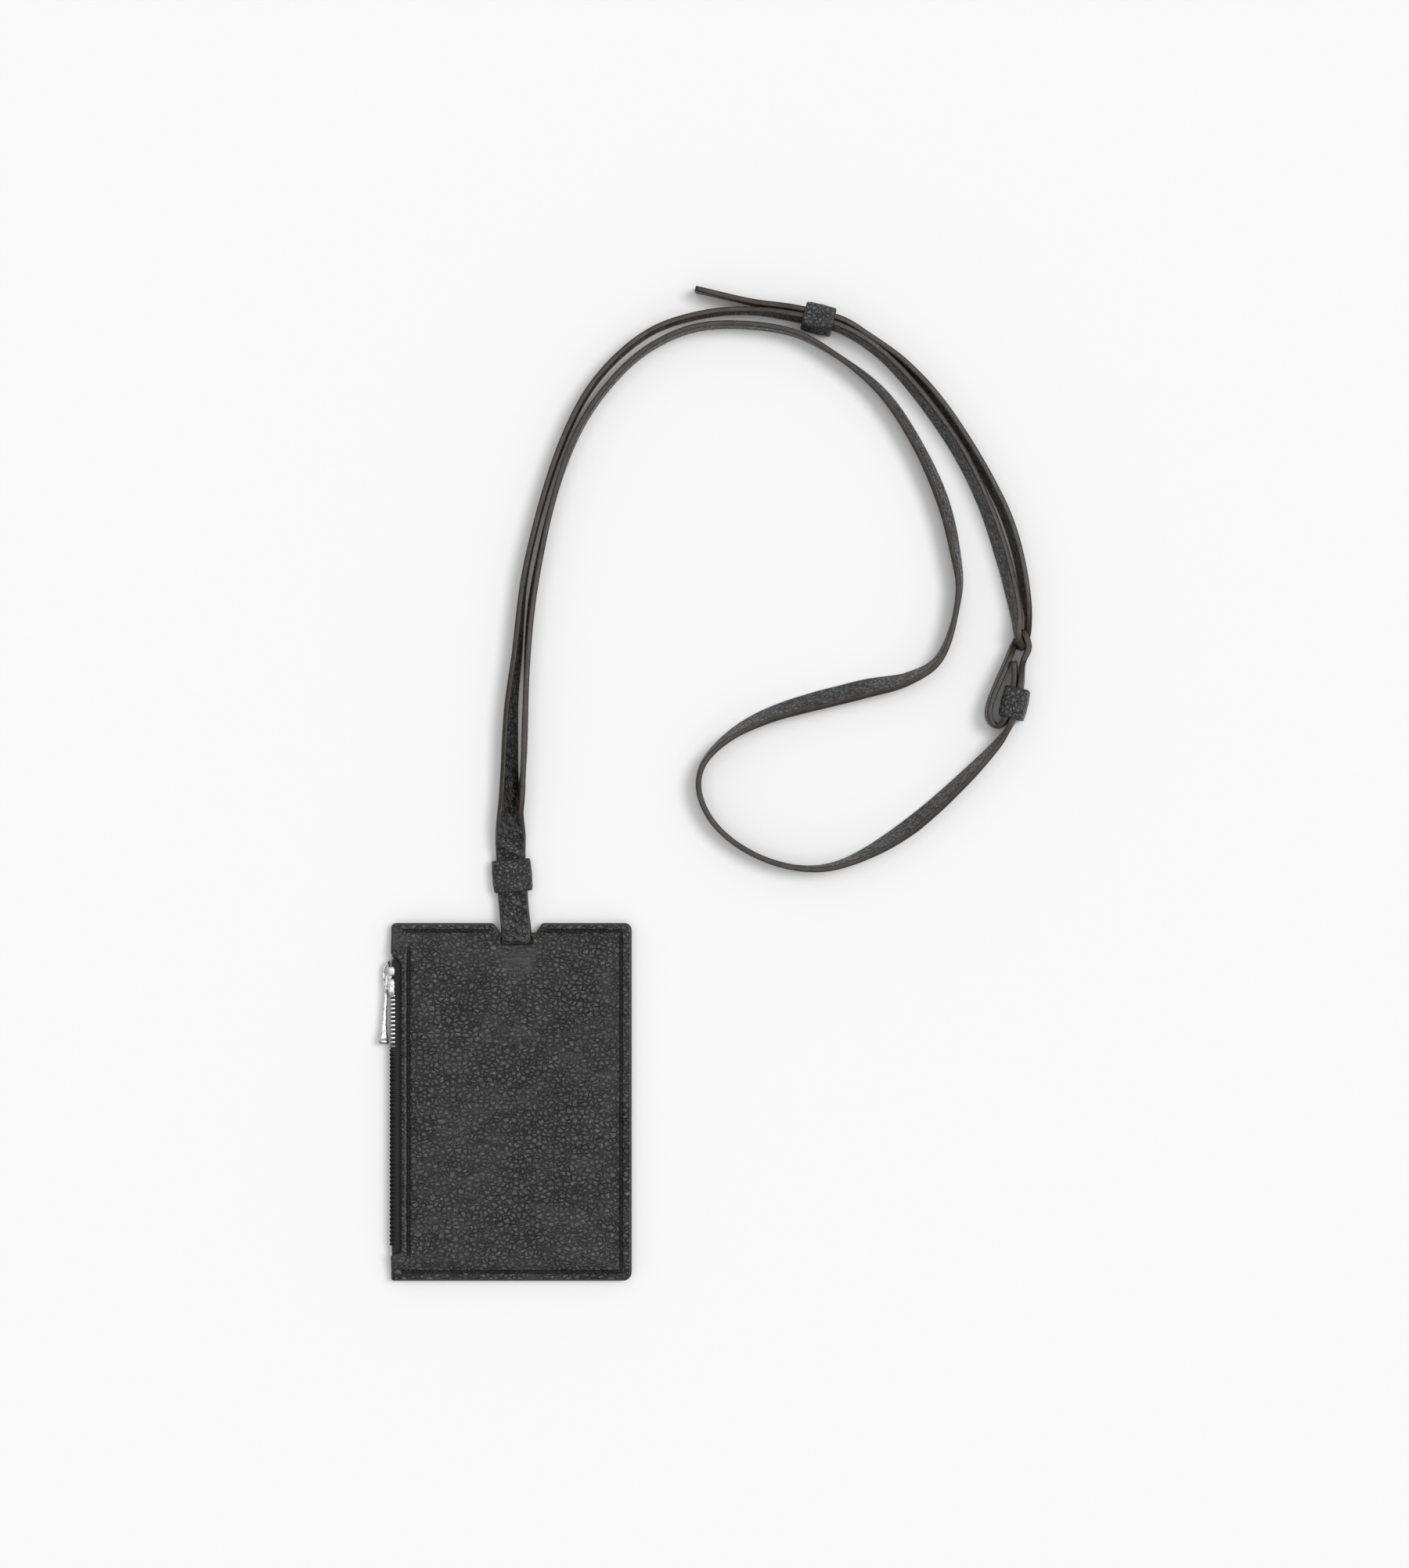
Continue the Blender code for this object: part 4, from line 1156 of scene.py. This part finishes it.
def eased_path(corners, steps=6):
    """The path with its corners rounded, by a quadratic curve through each one's two half edges."""
    corners = np.array(corners, float)
    path = [corners[0]]
    for a, b, c in zip(corners, corners[1:], corners[2:]):
        start, end = (a + b) / 2, (b + c) / 2
        for k in range(steps + 1):
            t = k / steps
            path.append((1 - t) ** 2 * start + 2 * t * (1 - t) * b + t * t * end)
    path.append(corners[-1])
    return np.array(path)


# The slider's blocks: middle (x, y), half sizes and rounding; a flange's middle also has its distance from
# the zip's middle plane
SLIDER_MIDDLE_BLOCKS = {
    "back wall": ((-40.85, 41.1), (0.27, 5.9, 3.1), (0.25, 0.8, 0.5)),
    "post": ((-39.1, 42.6), (1.7, 1.5, 0.5), (0.2, 0.4, 0.3)),
    "inner plate": ((-37.35, 41.2), (0.34, 5.5, 1.15), (0.25, 0.6, 0.4)),
}
SLIDER_FLANGE_BLOCKS = {
    "mouth": ((-39.75, 38.3, 2.85), (1.15, 2.9, 0.38), (0.8, 0.9, 0.36)),
    "head": ((-39.75, 43.5, 2.85), (1.15, 1.7, 0.38), (0.8, 0.9, 0.36)),
    "neck": ((-40.2, 41.4, 2.75), (0.6, 1.4, 0.3), (0.3, 0.4, 0.28)),
}
CROWN_Y = (37.4, 46.4)
CROWN_FOOT_X = -41.05
CROWN_TOP_X = -42.45
PIVOT = (-41.4, 42.5)
PULLER_LEAN = 3.0
EYE_MIDDLE = 2.85
EYE_HALF = (2.95, 1.55)
EYE_WIRE = 0.42
# The puller's bar: distance from the pivot, half width and half thickness
PULLER_BAR = [
    (5.4, 1.3, 0.40),
    (6.4, 1.55, 0.52),
    (9.0, 1.65, 0.55),
    (13.0, 1.7, 0.60),
    (16.5, 1.8, 0.75),
    (19.3, 1.95, 1.05),
    (20.8, 2.0, 1.35),
    (21.9, 2.0, 1.58),
    (22.1, 1.8, 1.50),
    (22.3, 1.9, 1.70),
    (22.9, 1.8, 1.72),
    (23.2, 1.4, 1.5),
]
# From this distance on, the puller's tip takes the dark tooth metal as painted shade
TIP_SHADE_FROM = 22.05


def make_slider():
    """The slider's body: two flanges held by a back wall, and a post to the plate inside the pouch."""
    points, faces = [], []
    for (x, y), half, soft in SLIDER_MIDDLE_BLOCKS.values():
        add_rounded_block(points, faces, (x, y, MID_Z), half, soft)
    for sign in (1, -1):
        for (x, y, away), half, soft in SLIDER_FLANGE_BLOCKS.values():
            add_rounded_block(points, faces, (x, y, MID_Z + sign * away), half, soft)
    slider = mesh_object("slider_body", points, faces, [DULL_NICKEL])
    return finish_piece(slider, "slider", "zip_metal", "zip_slider")


def make_crown():
    """The arch that the puller hangs from, with a foot at each end."""
    low, high = CROWN_Y
    foot, top = CROWN_FOOT_X, CROWN_TOP_X
    corners = [(foot, low + 0.75), (foot - 0.6, low + 0.8), (top, low + 1.9), (top, (low + high) / 2)]
    corners += [(top, high - 1.9), (foot - 0.6, high - 0.8), (foot, high - 0.75)]
    path = eased_path([(x, y, MID_Z) for x, y in corners])
    spreads = [eased((x - top) / (foot - top)) for x, _, _ in path]
    sizes = [(0.62 + 0.35 * spread, 0.33 + 0.22 * spread) for spread in spreads]
    crown = mesh_object("slider_crown", *sweep_bar(path, sizes, (0, 0, 1)), [NICKEL])
    face_outwards(crown)
    return finish_piece(crown, "slider", "zip_metal", "zip_slider_crown")


def make_puller():
    """The puller: an eye round the crown, a slim bar and a tip that flares, with a groove before its end."""
    eye = []
    for k in range(28):
        angle = 2 * math.pi * k / 28
        c, n = math.cos(angle), math.sin(angle)
        along = math.copysign(abs(c) ** 0.6, c) * EYE_HALF[0]
        eye.append((0, along - EYE_MIDDLE, math.copysign(abs(n) ** 0.6, n) * EYE_HALF[1]))
    ring = sweep_bar(eye, [(EYE_WIRE, EYE_WIRE)] * len(eye), (1, 0, 0), closed=True)
    path = [(0, -down, 0) for down, _, _ in PULLER_BAR]
    bar = sweep_bar(path, [sizes for _, *sizes in PULLER_BAR], (0, 0, 1), around=20)
    points, faces = joined(ring, bar)
    # The tip's end past the groove gets the dark tooth metal as painted shade
    slots = [int(all(points[k][1] < -TIP_SHADE_FROM for k in face)) for face in faces]
    place = Matrix.Translation((*PIVOT, MID_Z)) @ Matrix.Rotation(math.radians(-PULLER_LEAN), 4, "Z")
    points = [tuple(place @ Vector(point)) for point in points]
    puller = mesh_object("puller_bar", points, faces, [NICKEL, TOOTH_METAL], slots)
    face_outwards(puller)
    return finish_piece(puller, "puller", "zip_metal", "zip_puller")


def round_edges(node_name):
    """Rounds the edges of one of the frame's own metal pieces."""
    bevel = nodes[node_name].modifiers.new("rounded", "BEVEL")
    bevel.width = 0.25 * MM
    bevel.segments = 3
    bevel.limit_method = "ANGLE"
    bevel.angle_limit = math.radians(30)


make_tape("tape_front", "zip_tape_front", True)
make_tape("tape_back", "zip_tape_back", False)
make_teeth("teeth_front", "zip_teeth_front", True)
make_teeth("teeth_back", "zip_teeth_back", False)
make_slider()
make_crown()
make_puller()
for stop in ("zip_bottom_stop", "zip_top_stop_front", "zip_top_stop_back"):
    round_edges(stop)


# ---------------------------------------------------------------- finishes of the frame's own pieces

OWN_FINISH = {
    "lining_front": LINING_CLOTH,
    "lining_back": LINING_CLOTH,
    "zip_bottom_stop": TOOTH_METAL,
    "zip_top_stop_front": TOOTH_METAL,
    "zip_top_stop_back": TOOTH_METAL,
}
for name, material in OWN_FINISH.items():
    nodes[name].data.materials.clear()
    nodes[name].data.materials.append(material)
